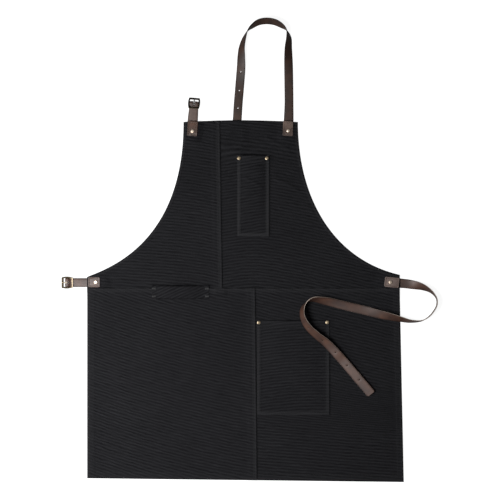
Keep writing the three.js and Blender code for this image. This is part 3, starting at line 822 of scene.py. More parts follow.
sew(bib_thread, level(lambda x: crowned(x, BIB_TOP), -NECK_HEM, BIB_LEFT, BIB_RIGHT), bib_top)
for curve, inset in ((left_armhole, ARMHOLE_ROW), (right_armhole, -ARMHOLE_ROW)):
    sew(bib_thread, [p for p in beside(curve[::4], inset) if p.y < BIB_TOP - 1], bib_top)
for inset in SEAM_ROWS:
    sew(bib_thread, upright(bib_seam, -inset, BIB_TOP - 1, WAIST_SEAM + 1), bib_tops[0])
bib_stitching = put_in_place("bib_stitching", bib_thread, [black_thread])

skirt_thread = bmesh.new()
skirt_tops = (cloth_top["skirt_panel_left"], cloth_top["skirt_panel_right"])
below_waist = WAIST_SEAM - 10
side_row, bottom_row = SIDE_HEM - ROW_INSIDE, BOTTOM_HEM - ROW_INSIDE


def skirt_top(x, y):
    return skirt_tops[0](x, y) if x < skirt_seam(y) else skirt_tops[1](x, y)


for inset in SEAM_ROWS:
    sew(skirt_thread, level(lambda x: WAIST_SEAM, -inset, WAIST_LEFT, WAIST_RIGHT), skirt_top)
    sew(skirt_thread, upright(skirt_seam, -inset, below_waist, hem_line(SKIRT_SEAM[1]) + 1), skirt_tops[0])
sew(skirt_thread, upright(lambda y: WAIST_LEFT, side_row, below_waist, HEM_LEFT[1] + 1), skirt_top)
sew(skirt_thread, upright(skirt_side, -side_row, below_waist, HEM_RIGHT[1] + 1), skirt_top)
sew(skirt_thread, level(hem_line, bottom_row, HEM_LEFT[0], HEM_RIGHT[0]), skirt_top)
skirt_stitching = put_in_place("skirt_stitching", skirt_thread, [black_thread])

MOUTH_ROW_INSET = 9
pocket_thread = bmesh.new()
for name, pocket in pockets.items():
    top = pocket["top"] - 1
    for inset in POCKET_ROWS:
        left, right, bottom = pocket["left"] + inset, pocket["right"] - inset, pocket["bottom"] + inset
        sew(pocket_thread, [(left, top), (left, bottom), (right, bottom), (right, top)], cloth_top[name])
    left, right = pocket["left"] + MOUTH_ROW_INSET, pocket["right"] - MOUTH_ROW_INSET
    mouth = pocket["top"] - (pocket["mouth_hem"] - ROW_INSIDE)
    sew(pocket_thread, [(left, mouth), (right, mouth)], cloth_top[name])
pocket_stitching = put_in_place("pocket_stitching", pocket_thread, [black_thread])

LOOP_ROW_INSET = 8
loop_thread = bmesh.new()
# The loop's rows lie just inside its edges and are laid wide, so that they paint the shadow lines there.
for y in (loop["top"] - 2.2, loop["bottom"] + 0.9):
    row = [(loop["left"] + LOOP_ROW_INSET, y), (loop["right"] - LOOP_ROW_INSET, y)]
    sew(loop_thread, row, cloth_top["towel_loop"], length=3.3, half=0.6)
loop_stitching = put_in_place("loop_stitching", loop_thread, [shadow_thread])

TACK_INSET, TACK_ROWS, TACK_STEP, TACK_REACH = 4.5, 10, 0.85, 3.2
tack_thread = bmesh.new()
for middle in (loop["left"] + TACK_INSET, loop["right"] - TACK_INSET):
    for y in loop["tacks"]:
        for k in range(TACK_ROWS):
            x = middle + (k - (TACK_ROWS - 1) / 2) * TACK_STEP
            row = [(x, y - TACK_REACH), (x, y + TACK_REACH)]
            sew(tack_thread, row, cloth_top["towel_loop"], length=6.2, pitch=6.3, half=0.4)
bar_tacks = put_in_place("bar_tacks", tack_thread, [grey_thread])

# The canvas pieces as they were cut, in metres
SKIRT_MIDDLE = -300
MM * (WAIST_RIGHT - bib_under_edge(bib_end))
cut_area(right_rows, bib_under_edge, bib_right_edge)
cut_area(left_rows, bib_left_edge, bib_seam)
skirt_right_width = MM * (skirt_side(SKIRT_MIDDLE) - skirt_under_edge(SKIRT_MIDDLE))

# Neck strap and waist strap
# Dark brown full-grain leather, 2 mm thick, with square tips and a row of punched holes. The neck strap
# loops back under the bib, and the waist strap, whose cut edges are paler, lies back over the skirt.

grain_of, at, result = new_group("Leather grain", ["Pebbles", "Mottle", "Scuffs"])
pebbles = grain_of.nodes.new("ShaderNodeTexVoronoi")
pebbles.inputs["Scale"].default_value = 620
grain_of.links.new(at, pebbles.inputs["Vector"])
raised = math_node(grain_of, "MULTIPLY", pebbles.outputs["Distance"], 0.7)
link(grain_of, math_node(grain_of, "ADD", raised, noise_node(grain_of, at, 900, 3)), result["Pebbles"])
link(grain_of, noise_node(grain_of, at, 46, 4), result["Mottle"])
link(grain_of, noise_node(grain_of, at, 170, 5), result["Scuffs"])


def leather_material(name, deep, light, wear_and_light, rough, polish=0.76):
    """Mottled dyed leather with a waxed polish. Where its wear mark is set it loses the polish and takes a
    second colour, which stands for burnish and wear and also paints shade along strap edges and in tab
    seams.
    """
    material, tree, shader = new_material(name)
    hide = place_group(tree, grain_of, own_place(tree))
    dyed = mix_colours(tree, spread(tree, hide["Mottle"], -0.6, 1.6), deep, light)
    wear_and_painted_light = math_node(tree, "MULTIPLY", own_attribute(tree, "wear_and_painted_light"), spread(tree, hide["Scuffs"], 0.3, 1.0))
    link(tree, mix_colours(tree, wear_and_painted_light, dyed, wear_and_light), shader.inputs["Base Color"])
    link(tree, spread(tree, hide["Scuffs"], rough - 0.16, rough + 0.16), shader.inputs["Roughness"])
    link(tree, spread(tree, wear_and_painted_light, polish, 0), shader.inputs["Coat Weight"])
    shader.inputs["Coat Roughness"].default_value = rough
    shader.inputs["Specular IOR Level"].default_value = 0.12
    add_bump(tree, shader, hide["Pebbles"], 0.45, 0.00025)
    return material


leather = leather_material(
    "Brown leather", deep=(0.022, 0.0095, 0.0066), light=(0.061, 0.0265, 0.0155),
    wear_and_light=(0.008, 0.0032, 0.0018), rough=0.52,
)
# A darker, less polished copy of the strap leather for the neck strap: painted shade.
shaded_leather = leather_material(
    "Leather with painted shade", deep=(0.009, 0.0032, 0.0015), light=(0.036, 0.0145, 0.0072),
    wear_and_light=(0.006, 0.0024, 0.0014), rough=0.52, polish=0.6,
)
burnished = leather_material(
    "Burnished edge", deep=(0.005, 0.0022, 0.0014), light=(0.014, 0.0068, 0.0042),
    wear_and_light=(0.006, 0.003, 0.002), rough=0.6,
)
cut_edge = leather_material(
    "Cut leather edge", deep=(0.040, 0.028, 0.021), light=(0.105, 0.082, 0.066),
    wear_and_light=(0.34, 0.28, 0.24), rough=0.7,
)

HOLE_COUNT, HOLE_PITCH, HOLE_RADIUS = 5, 40, 1.2
STRAP_CELLS = 8
STRAP_STOPS = 20
REST_WINDOW = 9
# The band along a strap's edges is painted darker and unpolished: burnished leather, with painted shade
# where the face rounds off.
EDGE_DROP, EDGE_DARK_BAND = 0.3, 2.8
TIP_ROWS = [4.6, 3.2, 2.1, 1.2, 0.5, 0]
TIP_CORNER, TIP_PINCH = 4, 0.8
ROOT_FLARE_FROM, TIP_FLARE_FROM, FLARE_EASE = 20, 190, 60

# Middle line on the table, and the turn of the strap about it in degrees
neck_route = [
    (85, 252, 0), (86.6, 283, 0), (87.5, 321, 0), (87.2, 363, 0), (86.6, 405, 8), (86.1, 428, 22),
    (86.1, 448, 36), (87, 470, 56), (82.3, 486, 87), (72, 495.6, 113), (57, 503.8, 125), (37.6, 506.9, 128),
    (19.8, 503.8, 124), (5.3, 494.6, 110), (-3.9, 486, 90), (-11.6, 470, 69), (-17.4, 448, 50),
    (-18.5, 428, 33), (-18.9, 405, 18), (-22, 363, 2), (-25.5, 321, 0), (-27.4, 290, 0), (-29.6, 265, 0),
    (-31.8, 241, 0), (-34, 216.5, 0),
]
waist_route = [
    (301, -71.4, 0), (331, -74.5, 0), (357.6, -77.6, 8), (384, -83.7, 46), (403.5, -94.6, 76),
    (414.4, -109, 89), (415, -123, 91), (408, -137, 91), (397, -149.3, 92), (382, -157.8, 97),
    (357, -159, 110), (335, -154.4, 126), (316.8, -150.2, 139), (294, -145, 155), (248.8, -133.7, 174),
    (203.4, -122.8, 166), (169.3, -114.6, 150), (139.5, -111, 118), (124.3, -119.5, 90), (117, -132, 68),
    (116.5, -146, 60), (122.2, -161, 50), (133.2, -176, 43), (149.8, -191, 38), (171.4, -208.6, 28),
    (203.8, -242.9, 17), (237, -281.9, 14), (270.2, -320.9, 13),
]


def between_stops(a, b, c, d, t):
    """The smooth line from b to c, when a comes before and d after: place and roll."""
    pa, pb, pc, pd = (Vector(stop[:2]) for stop in (a, b, c, d))
    ab, bc, cd = (math.sqrt((q - p).length) for p, q in ((pa, pb), (pb, pc), (pc, pd)))
    leave = ((pb - pa) / ab - (pc - pa) / (ab + bc) + (pc - pb) / bc) * bc
    arrive = ((pc - pb) / bc - (pd - pb) / (bc + cd) + (pd - pc) / cd) * bc
    start, end = 2 * t**3 - 3 * t**2 + 1, 3 * t**2 - 2 * t**3
    going, coming = t**3 - 2 * t**2 + t, t**3 - t**2
    roll = start * b[2] + going * (c[2] - a[2]) / 2 + end * c[2] + coming * (d[2] - b[2]) / 2
    return pb * start + leave * going + pc * end + arrive * coming, roll


Station = namedtuple("Station", "walked middle across face flat")


def strap_line(route, support):
    """Stations along a strap: distance, middle, across it, out of its face, and across from above."""
    first = tuple(2 * p - q for p, q in zip(route[0], route[1]))
    last = tuple(2 * p - q for p, q in zip(route[-1], route[-2]))
    stops = [(*first[:2], route[0][2]), *route, (*last[:2], route[-1][2])]
    line = []
    for i in range(len(route) - 1):
        line += [between_stops(*stops[i : i + 4], k / STRAP_STOPS) for k in range(STRAP_STOPS)]
    line.append((Vector(route[-1][:2]), route[-1][2]))
    stations, walked = [], 0.0
    for i, (at, roll) in enumerate(line):
        walked += (at - line[i - 1][0]).length if i else 0.0
        ahead = (line[min(i + 1, len(line) - 1)][0] - line[max(i - 1, 0)][0]).normalized()
        sine, cosine = math.sin(math.radians(roll)), math.cos(math.radians(roll))
        left = Vector((-ahead.y, ahead.x, 0))
        across = left * cosine + Vector((0, 0, sine))
        face = left * -sine + Vector((0, 0, cosine))
        stand = (STRAP_WIDTH * abs(sine) + LEATHER * abs(cosine)) / 2
        stations.append(Station(walked, Vector((at.x, at.y, stand)), across, face, left * cosine))
    rests = [support(station.middle, station.flat, station.walked / walked) for station in stations]

    def nearby(values, station):
        return [v for s, v in zip(stations, values) if abs(s.walked - station.walked) < REST_WINDOW]

    highest = [max(nearby(rests, station)) for station in stations]
    for station in stations:
        lifts = nearby(highest, station)
        station.middle.z += sum(lifts) / len(lifts)
    return stations


def strap_frame(stations, s):
    """Middle, across and face directions at a distance along a strap."""
    i = min(max(bisect.bisect([station.walked for station in stations], s), 1), len(stations) - 1)
    a, b = stations[i - 1], stations[i]
    t = clamp((s - a.walked) / max(b.walked - a.walked, 1e-9))
    across, face = a.across.lerp(b.across, t), a.face.lerp(b.face, t)
    return a.middle.lerp(b.middle, t), across.normalized(), face.normalized()


def edge_wear_and_shade(across):
    """How dark a strap is painted at a distance from its middle line: burnished edges, with painted shade
    where the face rounds off.
    """
    return clamp((abs(across) - HALF_STRAP + EDGE_DARK_BAND) / EDGE_DARK_BAND)


def punch_hole(bm, centre):
    """Takes out a vertex on both faces, draws the ring round it to a circle and walls the hole."""
    gone = [v for v in bm.verts if abs(v.co.x - centre) < 0.1 and abs(v.co.y) < 0.1]
    ring = {w for v in gone for f in v.link_faces if abs(f.normal.z) > 0.5 for w in f.verts} - set(gone)
    bmesh.ops.delete(bm, geom=gone, context="VERTS")
    for vert in ring:
        out = Vector((vert.co.x - centre, vert.co.y)).normalized() * HOLE_RADIUS
        vert.co.x, vert.co.y = centre + out.x, out.y
    walls = [e for e in bm.edges if e.is_boundary and all(v in ring for v in e.verts)]
    bmesh.ops.bridge_loops(bm, edges=walls)


def punched_strap(name, stations, holes_from_tip, root_flare, tip_flare, hide, rim):
    """A strap along its stations, a little wider towards its root and its tip."""
    length = stations[-1].walked
    along = evenly(0, length - TIP_ROWS[0], STRAP_WIDTH / STRAP_CELLS)
    along += [length - back for back in TIP_ROWS[1:]]
    last = len(along) - 1
    bm = slab(last, STRAP_CELLS)
    for vert in bm.verts:
        s = along[round(vert.co.x * last)]
        corner = max(0.0, TIP_CORNER - (length - s))
        pinch = TIP_CORNER - math.sqrt(max(TIP_CORNER**2 - corner * corner, 0))
        half = HALF_STRAP - pinch * TIP_PINCH
        vert.co = (s, (vert.co.y - 0.5) * 2 * half, vert.co.z * LEATHER)
    for k in range(HOLE_COUNT):
        from_start = length - holes_from_tip - k * HOLE_PITCH
        punch_hole(bm, min(along, key=lambda s: abs(s - from_start)))
    bmesh.ops.recalc_face_normals(bm, faces=bm.faces)
    mark_rim(bm)
    round_rim(bm, 0.42)
    wear_and_light_layer = bm.verts.layers.float.new("wear_and_painted_light")
    for vert in bm.verts:
        s, a, side = vert.co
        middle, across, face = strap_frame(stations, s)
        vert[wear_and_light_layer] = edge_wear_and_shade(a)
        crown = EDGE_DROP * (a / HALF_STRAP) ** 4 * (side / LEATHER)
        wider = mix(root_flare, 1, soft_step((s - ROOT_FLARE_FROM) / FLARE_EASE))
        wider *= mix(1, tip_flare, soft_step((s - length + TIP_FLARE_FROM) / FLARE_EASE))
        vert.co = middle + across * (a * wider) + face * (side - LEATHER / 2 - crown)
    put_in_place(name, bm, [hide, rim], [name])


def strap_bed(x, y):
    """What the waist strap lies on: the table, the skirt, and the hip pocket on it."""
    on_skirt = cover(min(skirt_side(y) - x, WAIST_SEAM - y), 4, 20)
    inside = min(x - hip["left"], hip["right"] - x, y - hip["bottom"], hip["top"] - y)
    on_pocket = cover(inside, 6, 10) * (CANVAS + HEM_RISE + GAP + belly(hip, x, y))
    return on_skirt * (cloth_top["skirt_panel_right"](x, y) + 0.2 + on_pocket)


def on_table(middle, flat, share):
    return 0.0


def on_apron(middle, flat, share):
    """The first quarter of the waist strap lies beside the apron, the rest on it."""
    if share < 0.25:
        return 0.0
    places = [middle + flat * (HALF_STRAP * side) for side in (-1, -0.5, 0, 0.5, 1)]
    return max(strap_bed(at.x, at.y) for at in places)


punched_strap(
    "neck_strap", strap_line(neck_route, on_table), holes_from_tip=18,
    root_flare=1.12, tip_flare=1, hide=shaded_leather, rim=burnished,
)
punched_strap(
    "waist_strap", strap_line(waist_route, on_apron), holes_from_tip=42,
    root_flare=1.08, tip_flare=1.056, hide=leather, rim=cut_edge,
)

# Buckle straps
# Two short straps of the same leather, each folded round the middle bar of its buckle and back under the
# bib, so that both layers are held by one rivet. A slot in the fold lets the prong through.

REACH = 61.6
BAR_HEIGHT = 3.8
DESCENT, DESCENT_STEPS = 9, 8
NOSE_OUT, NOSE_UP, NOSE_STEPS = 4, 2.2, 16
SLOT_OVER, SLOT_UNDER, SLOT_HALF = 5.5, 2.4, 1.7
SHOULDER_DROP = 0.8
STRAIGHT_CELL, BEND_CELL = 2.4, 1.6
NOSE_WEAR_FROM, NOSE_WEAR_EASE = 11, 4
FLARE_FROM, FLARE_LENGTH = 22, 34


def folded_line():
    """Side view of the folded strap: out along the table, round the bar and back on top."""
    lower, upper = LEATHER / 2, FOLDED_STRAP_TOP - LEATHER / 2
    line = [Vector((x, lower)) for x in evenly(-ROOT_TAIL, REACH - DESCENT, STRAIGHT_CELL)]
    line += [Vector((x, lower)) for x in evenly(REACH - DESCENT, REACH - SLOT_UNDER, BEND_CELL)[1:]]
    line.append(Vector((REACH - SLOT_UNDER / 2, lower)))
    for k in range(NOSE_STEPS + 1):
        angle = math.pi * (k / NOSE_STEPS - 0.5)
        tall = NOSE_UP if angle > 0 else BAR_HEIGHT - lower
        line.append(Vector((REACH + NOSE_OUT * math.cos(angle), BAR_HEIGHT + tall * math.sin(angle))))
    for k in range(1, DESCENT_STEPS + 1):
        height = mix(BAR_HEIGHT + NOSE_UP, upper, soft_step(k / DESCENT_STEPS))
        line.append(Vector((REACH - DESCENT * k / DESCENT_STEPS, height)))
    return line + [Vector((x, upper)) for x in evenly(REACH - DESCENT, -ROOT_TAIL, STRAIGHT_CELL)[1:]]


def from_rivet(root, point):
    """Takes a point beside a rivet, X out along the strap, to its place on the apron."""
    x, y = from_root(root, point[0], point[1])
    return Vector((x, y, point[2]))


def buckle_strap(name, root, flare, nose_worn, hide):
    """A strap folded on itself, with a slot through its nose, a little wider towards the rivet."""
    line = folded_line()
    last = len(line) - 1
    half = [SLOT_HALF, 3.4, 5.4, 7.6, HALF_STRAP]
    across = [-a for a in reversed(half)] + half
    bm = slab(last, len(across) - 1)
    for vert in bm.verts:
        vert.co = (vert.co.x * last, across[round(vert.co.y * (len(across) - 1))], vert.co.z * LEATHER)
    slot_start = min(i for i, point in enumerate(line) if point.x > REACH - SLOT_UNDER - 0.01)
    slot_end = max(i for i, point in enumerate(line) if point.x > REACH - SLOT_OVER)
    slot = []
    for face in bm.faces:
        middle = face.calc_center_median()
        if abs(middle.y) < SLOT_HALF and slot_start < middle.x < slot_end and abs(face.normal.z) > 0.5:
            slot.append(face)
    bmesh.ops.delete(bm, geom=slot, context="FACES")
    bmesh.ops.bridge_loops(bm, edges=[e for e in bm.edges if e.is_boundary])
    bmesh.ops.recalc_face_normals(bm, faces=bm.faces)
    mark_rim(bm)
    round_rim(bm, 0.3)
    wear_and_light_layer = bm.verts.layers.float.new("wear_and_painted_light")
    for vert in bm.verts:
        step, a, side = vert.co
        i = min(int(step), last - 1)
        at = line[i].lerp(line[i + 1], step - i)
        ahead = (line[min(i + 2, last)] - line[max(i - 1, 0)]).normalized()
        crown = SHOULDER_DROP * (a / HALF_STRAP) ** 4 * (1 - side / LEATHER)
        inward = side - LEATHER / 2 + crown
        at_nose = nose_worn * clamp((at.x - REACH + NOSE_WEAR_FROM) / NOSE_WEAR_EASE)
        vert[wear_and_light_layer] = max(at_nose, edge_wear_and_shade(a))
        widened = mix(flare, 1, clamp((at.x - FLARE_FROM) / FLARE_LENGTH) ** 1.5)
        vert.co = from_rivet(root, (at.x - ahead.y * inward, a * widened, at.y + ahead.x * inward))
    put_in_place(name, bm, [hide, burnished], [name])


# A paler copy of the strap leather for the neck buckle strap: painted sheen.
sheen_painted_leather = leather_material(
    "Leather with painted sheen", deep=(0.045, 0.028, 0.022), light=(0.10, 0.064, 0.05),
    wear_and_light=(0.009, 0.0042, 0.0028), rough=0.52,
)
buckle_strap("neck_buckle_strap", roots["neck_left"], flare=1.15, nose_worn=0.8, hide=sheen_painted_leather)
buckle_strap("waist_buckle_strap", roots["waist_left"], flare=1, nose_worn=0, hide=leather)

# Tabs
# Four small plates of the same leather on the face of the bib, each over a strap's root. They are sewn
# round their border and take the rivet that goes through tab, canvas and strap.

TAB_WIDTH = 22.2
TAB_CORNER, CORNER_STEPS = 2.4, 3
TAB_CELL = 2.4
TAB_LIFT = 0.1
SEAM_INSET, SEAM_DIP, DIP_HALF = 3.2, 0.3, 1.6

tab_leather = leather_material(
    "Tab leather", deep=(0.014, 0.0055, 0.0028), light=(0.064, 0.028, 0.0155),
    wear_and_light=(0.010, 0.0040, 0.0024), rough=0.45, polish=0.6,
)
# The two right tabs take paler copies of the tab leather: painted sheen, strongest on the waist tab.
sheen_painted_tab = leather_material(
    "Tab leather with painted sheen", deep=(0.028, 0.015, 0.0105), light=(0.112, 0.074, 0.058),
    wear_and_light=(0.02, 0.011, 0.008), rough=0.5,
)
strong_sheen_tab = leather_material(
    "Tab leather with strong painted sheen", deep=(0.055, 0.035, 0.028), light=(0.135, 0.098, 0.085),
    wear_and_light=(0.02, 0.011, 0.008), rough=0.5,
)
tab_hides = {
    "neck_left": tab_leather,
    "neck_right": sheen_painted_tab,
    "waist_left": tab_leather,
    "waist_right": strong_sheen_tab,
}
# The tan thread is made paler than its own colour: painted sheen on the tabs' stitching.
tan_thread = thread_material("Brown thread", (0.085, 0.064, 0.052), (0.25, 0.20, 0.165))
tab_thread = bmesh.new()
tab_top = {}


def rounded(a, b, half_length, half_width, corner):
    """Pulls the corners of a rectangle in to a radius."""
    over_a, over_b = abs(a) - half_length + corner, abs(b) - half_width + corner
    if over_a <= 0 or over_b <= 0:
        return a, b
    s, t = over_a / corner, over_b / corner
    s, t = s * math.sqrt(1 - t * t / 2), t * math.sqrt(1 - s * s / 2)
    return (
        math.copysign(half_length - corner + s * corner, a),
        math.copysign(half_width - corner + t * corner, b),
    )


def corner_steps(half):
    """Places from one edge of a tab to the other, closer together round the corners."""
    inner = half - TAB_CORNER
    side = [inner + TAB_CORNER * k / CORNER_STEPS for k in range(1, CORNER_STEPS + 1)]
    return [-v for v in reversed(side)] + evenly(-inner, inner, TAB_CELL) + side


def strap_tab(place, panel_top):
    """A tab on the face of its panel, with its sewing."""
    root = roots[place]
    half_length, half_width = (root["outer"] + root["inner"]) / 2, TAB_WIDTH / 2
    shift = (root["outer"] - root["inner"]) / 2
    along, across = corner_steps(half_length), corner_steps(half_width)
    bm = slab(len(along) - 1, len(across) - 1)
    for vert in bm.verts:
        a, b = along[round(vert.co.x * (len(along) - 1))], across[round(vert.co.y * (len(across) - 1))]
        vert.co = (*rounded(a, b, half_length, half_width, TAB_CORNER), vert.co.z * LEATHER)
    mark_rim(bm)
    round_rim(bm, 0.5)
    wear_and_light_layer = bm.verts.layers.float.new("wear_and_painted_light")
    for vert in bm.verts:
        a, b, side = vert.co
        # Along the sewn line the tab is painted darker and loses its polish: painted shade in the stitched
        # groove.
        off_seam = abs(min(half_length - abs(a), half_width - abs(b)) - SEAM_INSET)
        vert[wear_and_light_layer] = clamp(1.4 - off_seam / 1.2)
        x, y = from_root(root, a + shift, b + root["aside"])
        dip = SEAM_DIP * (1 - min(off_seam / DIP_HALF, 1)) if side > LEATHER / 2 else 0.0
        vert.co = (x, y, panel_top(x, y) + TAB_LIFT + side - dip)

    def seam_top(x, y):
        return panel_top(x, y) + LEATHER

    border = [(-1, -1), (1, -1), (1, 1), (-1, 1), (-1, -1)]
    seam_length, seam_width = half_length - SEAM_INSET, half_width - SEAM_INSET
    line = [from_root(root, shift + i * seam_length, j * seam_width + root["aside"]) for i, j in border]
    for corners in zip(line, line[1:]):
        sew(tab_thread, corners, seam_top, pitch=4, half=0.6)
    tab_top[place] = lambda x, y: panel_top(x, y) + TAB_LIFT + LEATHER
    end, hand = place.split("_")
    name = f"{end}_tab_{hand}"
    put_in_place(name, bm, [tab_hides[place], cut_edge], [name])


for place in roots:
    hand = place.split("_")[1]
    strap_tab(place, cloth_top[f"bib_panel_{hand}"])
put_in_place("tab_stitching", tab_thread, [tan_thread])

# Rivets
# Antique brass caps, low with rounded rims, pressed on to a tubular shank: four through the strap tabs and
# four at the ends of the pocket mouths. The left hip rivet sits a little askew.

CAP_RADIUS, SHANK_RADIUS, CAP_SIDES = 4.2, 1.5, 36
CAP_LIFT = 0.05
pocket_rivet_lean = {"chest_left": 0, "chest_right": 0, "hip_left": 5, "hip_right": 0}

patina, at, result = new_group("Brass patina", ["Tarnish", "Scratches"])
link(patina, noise_node(patina, at, 210, 4), result["Tarnish"])
link(patina, noise_node(patina, at, 1, 3, stretch=(1400, 240, 900)), result["Scratches"])


def brass_material(name, bright, dull, wear_and_light, rough):
    """Brass that has gone dull in patches, with fine scratches, and is painted bright where its mark is
    set: wear, with a painted highlight on the buckle parts.
    """
    material, tree, shader = new_material(name)
    age = place_group(tree, patina, own_place(tree))
    aged = mix_colours(tree, spread(tree, age["Tarnish"], -0.5, 1.5), bright, dull)
    link(tree, mix_colours(tree, own_attribute(tree, "wear_and_painted_light"), aged, wear_and_light), shader.inputs["Base Color"])
    link(tree, spread(tree, age["Scratches"], rough - 0.1, rough + 0.14), shader.inputs["Roughness"])
    shader.inputs["Metallic"].default_value = 1.0
    add_bump(tree, shader, age["Scratches"], 0.12, 0.0001)
    return material


# The tab rivets take a whiter copy of the brass and the pocket rivets a dimmer one: painted highlight and
# painted shade.
tab_brass = brass_material(
    "Tab rivet brass", bright=(0.70, 0.60, 0.50), dull=(0.40, 0.31, 0.23),
    wear_and_light=(0.62, 0.48, 0.32), rough=0.4,
)
pocket_brass = brass_material(
    "Pocket rivet brass", bright=(0.42, 0.345, 0.235), dull=(0.20, 0.15, 0.095),
    wear_and_light=(0.62, 0.48, 0.32), rough=0.38,
)


def cap_rivet(name, x, y, seat, brass, lean=0):
    """A tail on the table, a shank, and a cap whose underside is at the seat."""
    bm = bmesh.new()
    tail = [(0, -0.1), (3.2, -0.1), (3.8, 0.3), (3.2, 0.8), (SHANK_RADIUS, 0.8)]
    cap = [
        (SHANK_RADIUS, 0), (3.9, 0), (CAP_RADIUS, 0.2), (CAP_RADIUS, 0.6), (4.08, 1.0), (3.75, 1.32),
        (3.2, 1.5), (2, 1.6), (0, 1.65),
    ]
    profile = tail + [(radius, seat + height) for radius, height in cap]
    chain = [bm.verts.new((radius, 0, height)) for radius, height in profile]
    edges = [bm.edges.new(pair) for pair in zip(chain, chain[1:])]
    bmesh.ops.spin(
        bm, geom=edges, axis=(0, 0, 1), cent=(0, 0, 0), angle=2 * math.pi, steps=CAP_SIDES, use_merge=True
    )
    bmesh.ops.remove_doubles(bm, verts=bm.verts, dist=0.001)
    bmesh.ops.recalc_face_normals(bm, faces=bm.faces)
    tilt = Matrix.Rotation(math.radians(lean), 3, "Y")
    bmesh.ops.rotate(bm, cent=(0, 0, seat), matrix=tilt, verts=bm.verts)
    bmesh.ops.translate(bm, vec=(x, y, 0), verts=bm.verts)
    put_in_place(name, bm, [brass], [name])


for place, root in roots.items():
    end, hand = place.split("_")
    x, y = from_root(root, *root["rivet"])
    cap_rivet(f"{end}_rivet_{hand}", x, y, tab_top[place](x, y) + CAP_LIFT, tab_brass)
for place, (x, y) in pocket_rivets.items():
    end, hand = place.split("_")
    seat = max(cloth_top[f"{end}_pocket"](x + i, y + j) for i in (-3, 0, 3) for j in (-3, 0, 3))
    cap_rivet(f"{end}_rivet_{hand}", x, y, seat + CAP_LIFT, pocket_brass, pocket_rivet_lean[place])

# Buckle frames
# Cast antique brass frames with bowed sides and a middle bar, which the folded strap holds. Each is tipped,
# with its far end on the table and its near end on the strap.

FAR, SIDE, RAIL, BAR, FRAME_THICK = 13, 13.4, 3.6, 1.9, 2
BOW, BOW_MIDDLE, BOW_REACH = 0.12, 1.2, 11.8
CORNER_ROUND, EDGE_ROUND = 1.5, 0.55
TILT = math.asin(0.215)

buckle_brass = brass_material(
    "Buckle brass", bright=(0.034, 0.027, 0.017), dull=(0.013, 0.010, 0.0065),
    wear_and_light=(0.50, 0.40, 0.28), rough=0.46,
)


def smoothed(piece, name, levels):
    smooth = piece.modifiers.new(name, "SUBSURF")
    smooth.levels = smooth.render_levels = levels


def buckle_frame(name, root, near, far_rail, wear_and_highlight):
    """A frame from its near end to FAR on the other side of the bar, painted bright along its near rail:
    wear, with a painted highlight.
    """
    inner_near, inner_far = -near + RAIL, FAR - far_rail
    xs = [-near, inner_near, -4.4, -BAR / 2, BAR / 2, 4, 7.2, inner_far, FAR]
    ys = [-SIDE, -SIDE + RAIL, SIDE - RAIL, SIDE]
    bm = bmesh.new()
    bmesh.ops.create_grid(bm, x_segments=len(xs) - 1, y_segments=len(ys) - 1, size=0.5)
    for vert in bm.verts:
        x = xs[round((vert.co.x + 0.5) * (len(xs) - 1))]
        y = ys[round((vert.co.y + 0.5) * (len(ys) - 1))]
        vert.co = (x, y * (1 - BOW * ((x - BOW_MIDDLE) / BOW_REACH) ** 2), -FRAME_THICK / 2)
    windows = []
    for face in bm.faces:
        middle = face.calc_center_median()
        inside = inner_near < middle.x < -BAR / 2 or BAR / 2 < middle.x < inner_far
        if inside and abs(middle.y) < SIDE / 2:
            windows.append(face)
    bmesh.ops.delete(bm, geom=windows, context="FACES")
    thicken(bm, FRAME_THICK)
    bmesh.ops.recalc_face_normals(bm, faces=bm.faces)
    outer = [e for e in bm.edges if abs(e.verts[0].co.z - e.verts[1].co.z) > 1 and len(e.link_faces) == 2]
    outer = [e for e in outer if e.calc_face_angle() > 1 and abs(e.verts[0].co.y) > SIDE * 0.8]
    bmesh.ops.bevel(
        bm, geom=outer, offset=CORNER_ROUND, segments=4, profile=0.5, affect="EDGES", material=-1
    )
    sharp = [e for e in bm.edges if e.calc_face_angle(0) > 0.9]
    bmesh.ops.bevel(
        bm, geom=sharp, offset=EDGE_ROUND, segments=3, profile=0.5, affect="EDGES", material=-1
    )
    bmesh.ops.rotate(bm, cent=(0, 0, 0), matrix=Matrix.Rotation(TILT, 3, "Y"), verts=bm.verts)
    wear_and_light_layer = bm.verts.layers.float.new("wear_and_painted_light")
    for vert in bm.verts:
        vert[wear_and_light_layer] = wear_and_highlight * clamp((inner_near + 0.4 - vert.co.x) / 0.8)
        vert.co = from_rivet(root, (vert.co.x + REACH, vert.co.y, vert.co.z + BAR_HEIGHT))
    smoothed(put_in_place(name, bm, [buckle_brass], [name]), "Cast edges", 1)


# The waist frame's near rail is painted much brighter than the neck frame's: painted highlight on top of
# wear.
buckle_frame("neck_buckle_frame", roots["neck_left"], near=11.8, far_rail=4.2, wear_and_highlight=0.08)
buckle_frame("waist_buckle_frame", roots["waist_left"], near=13.4, far_rail=4.9, wear_and_highlight=0.45)

# Prongs
# A flat brass wire bent round the middle bar of each buckle, with a tongue that tapers to a rounded tip
# and rests on the far end of the frame. It is the part that turns.

PRONG_LENGTH, PRONG_TIP = 12.9, -0.5
RING_RADIUS, RING_FROM, RING_TO, RING_STEPS = 2.25, -28, -290, 18
TONGUE_STEPS = 14
ROOT_WIDTH, TIP_WIDTH = 2.6, 2.1
ROOT_THICK, TIP_THICK = 1.05, 1.25


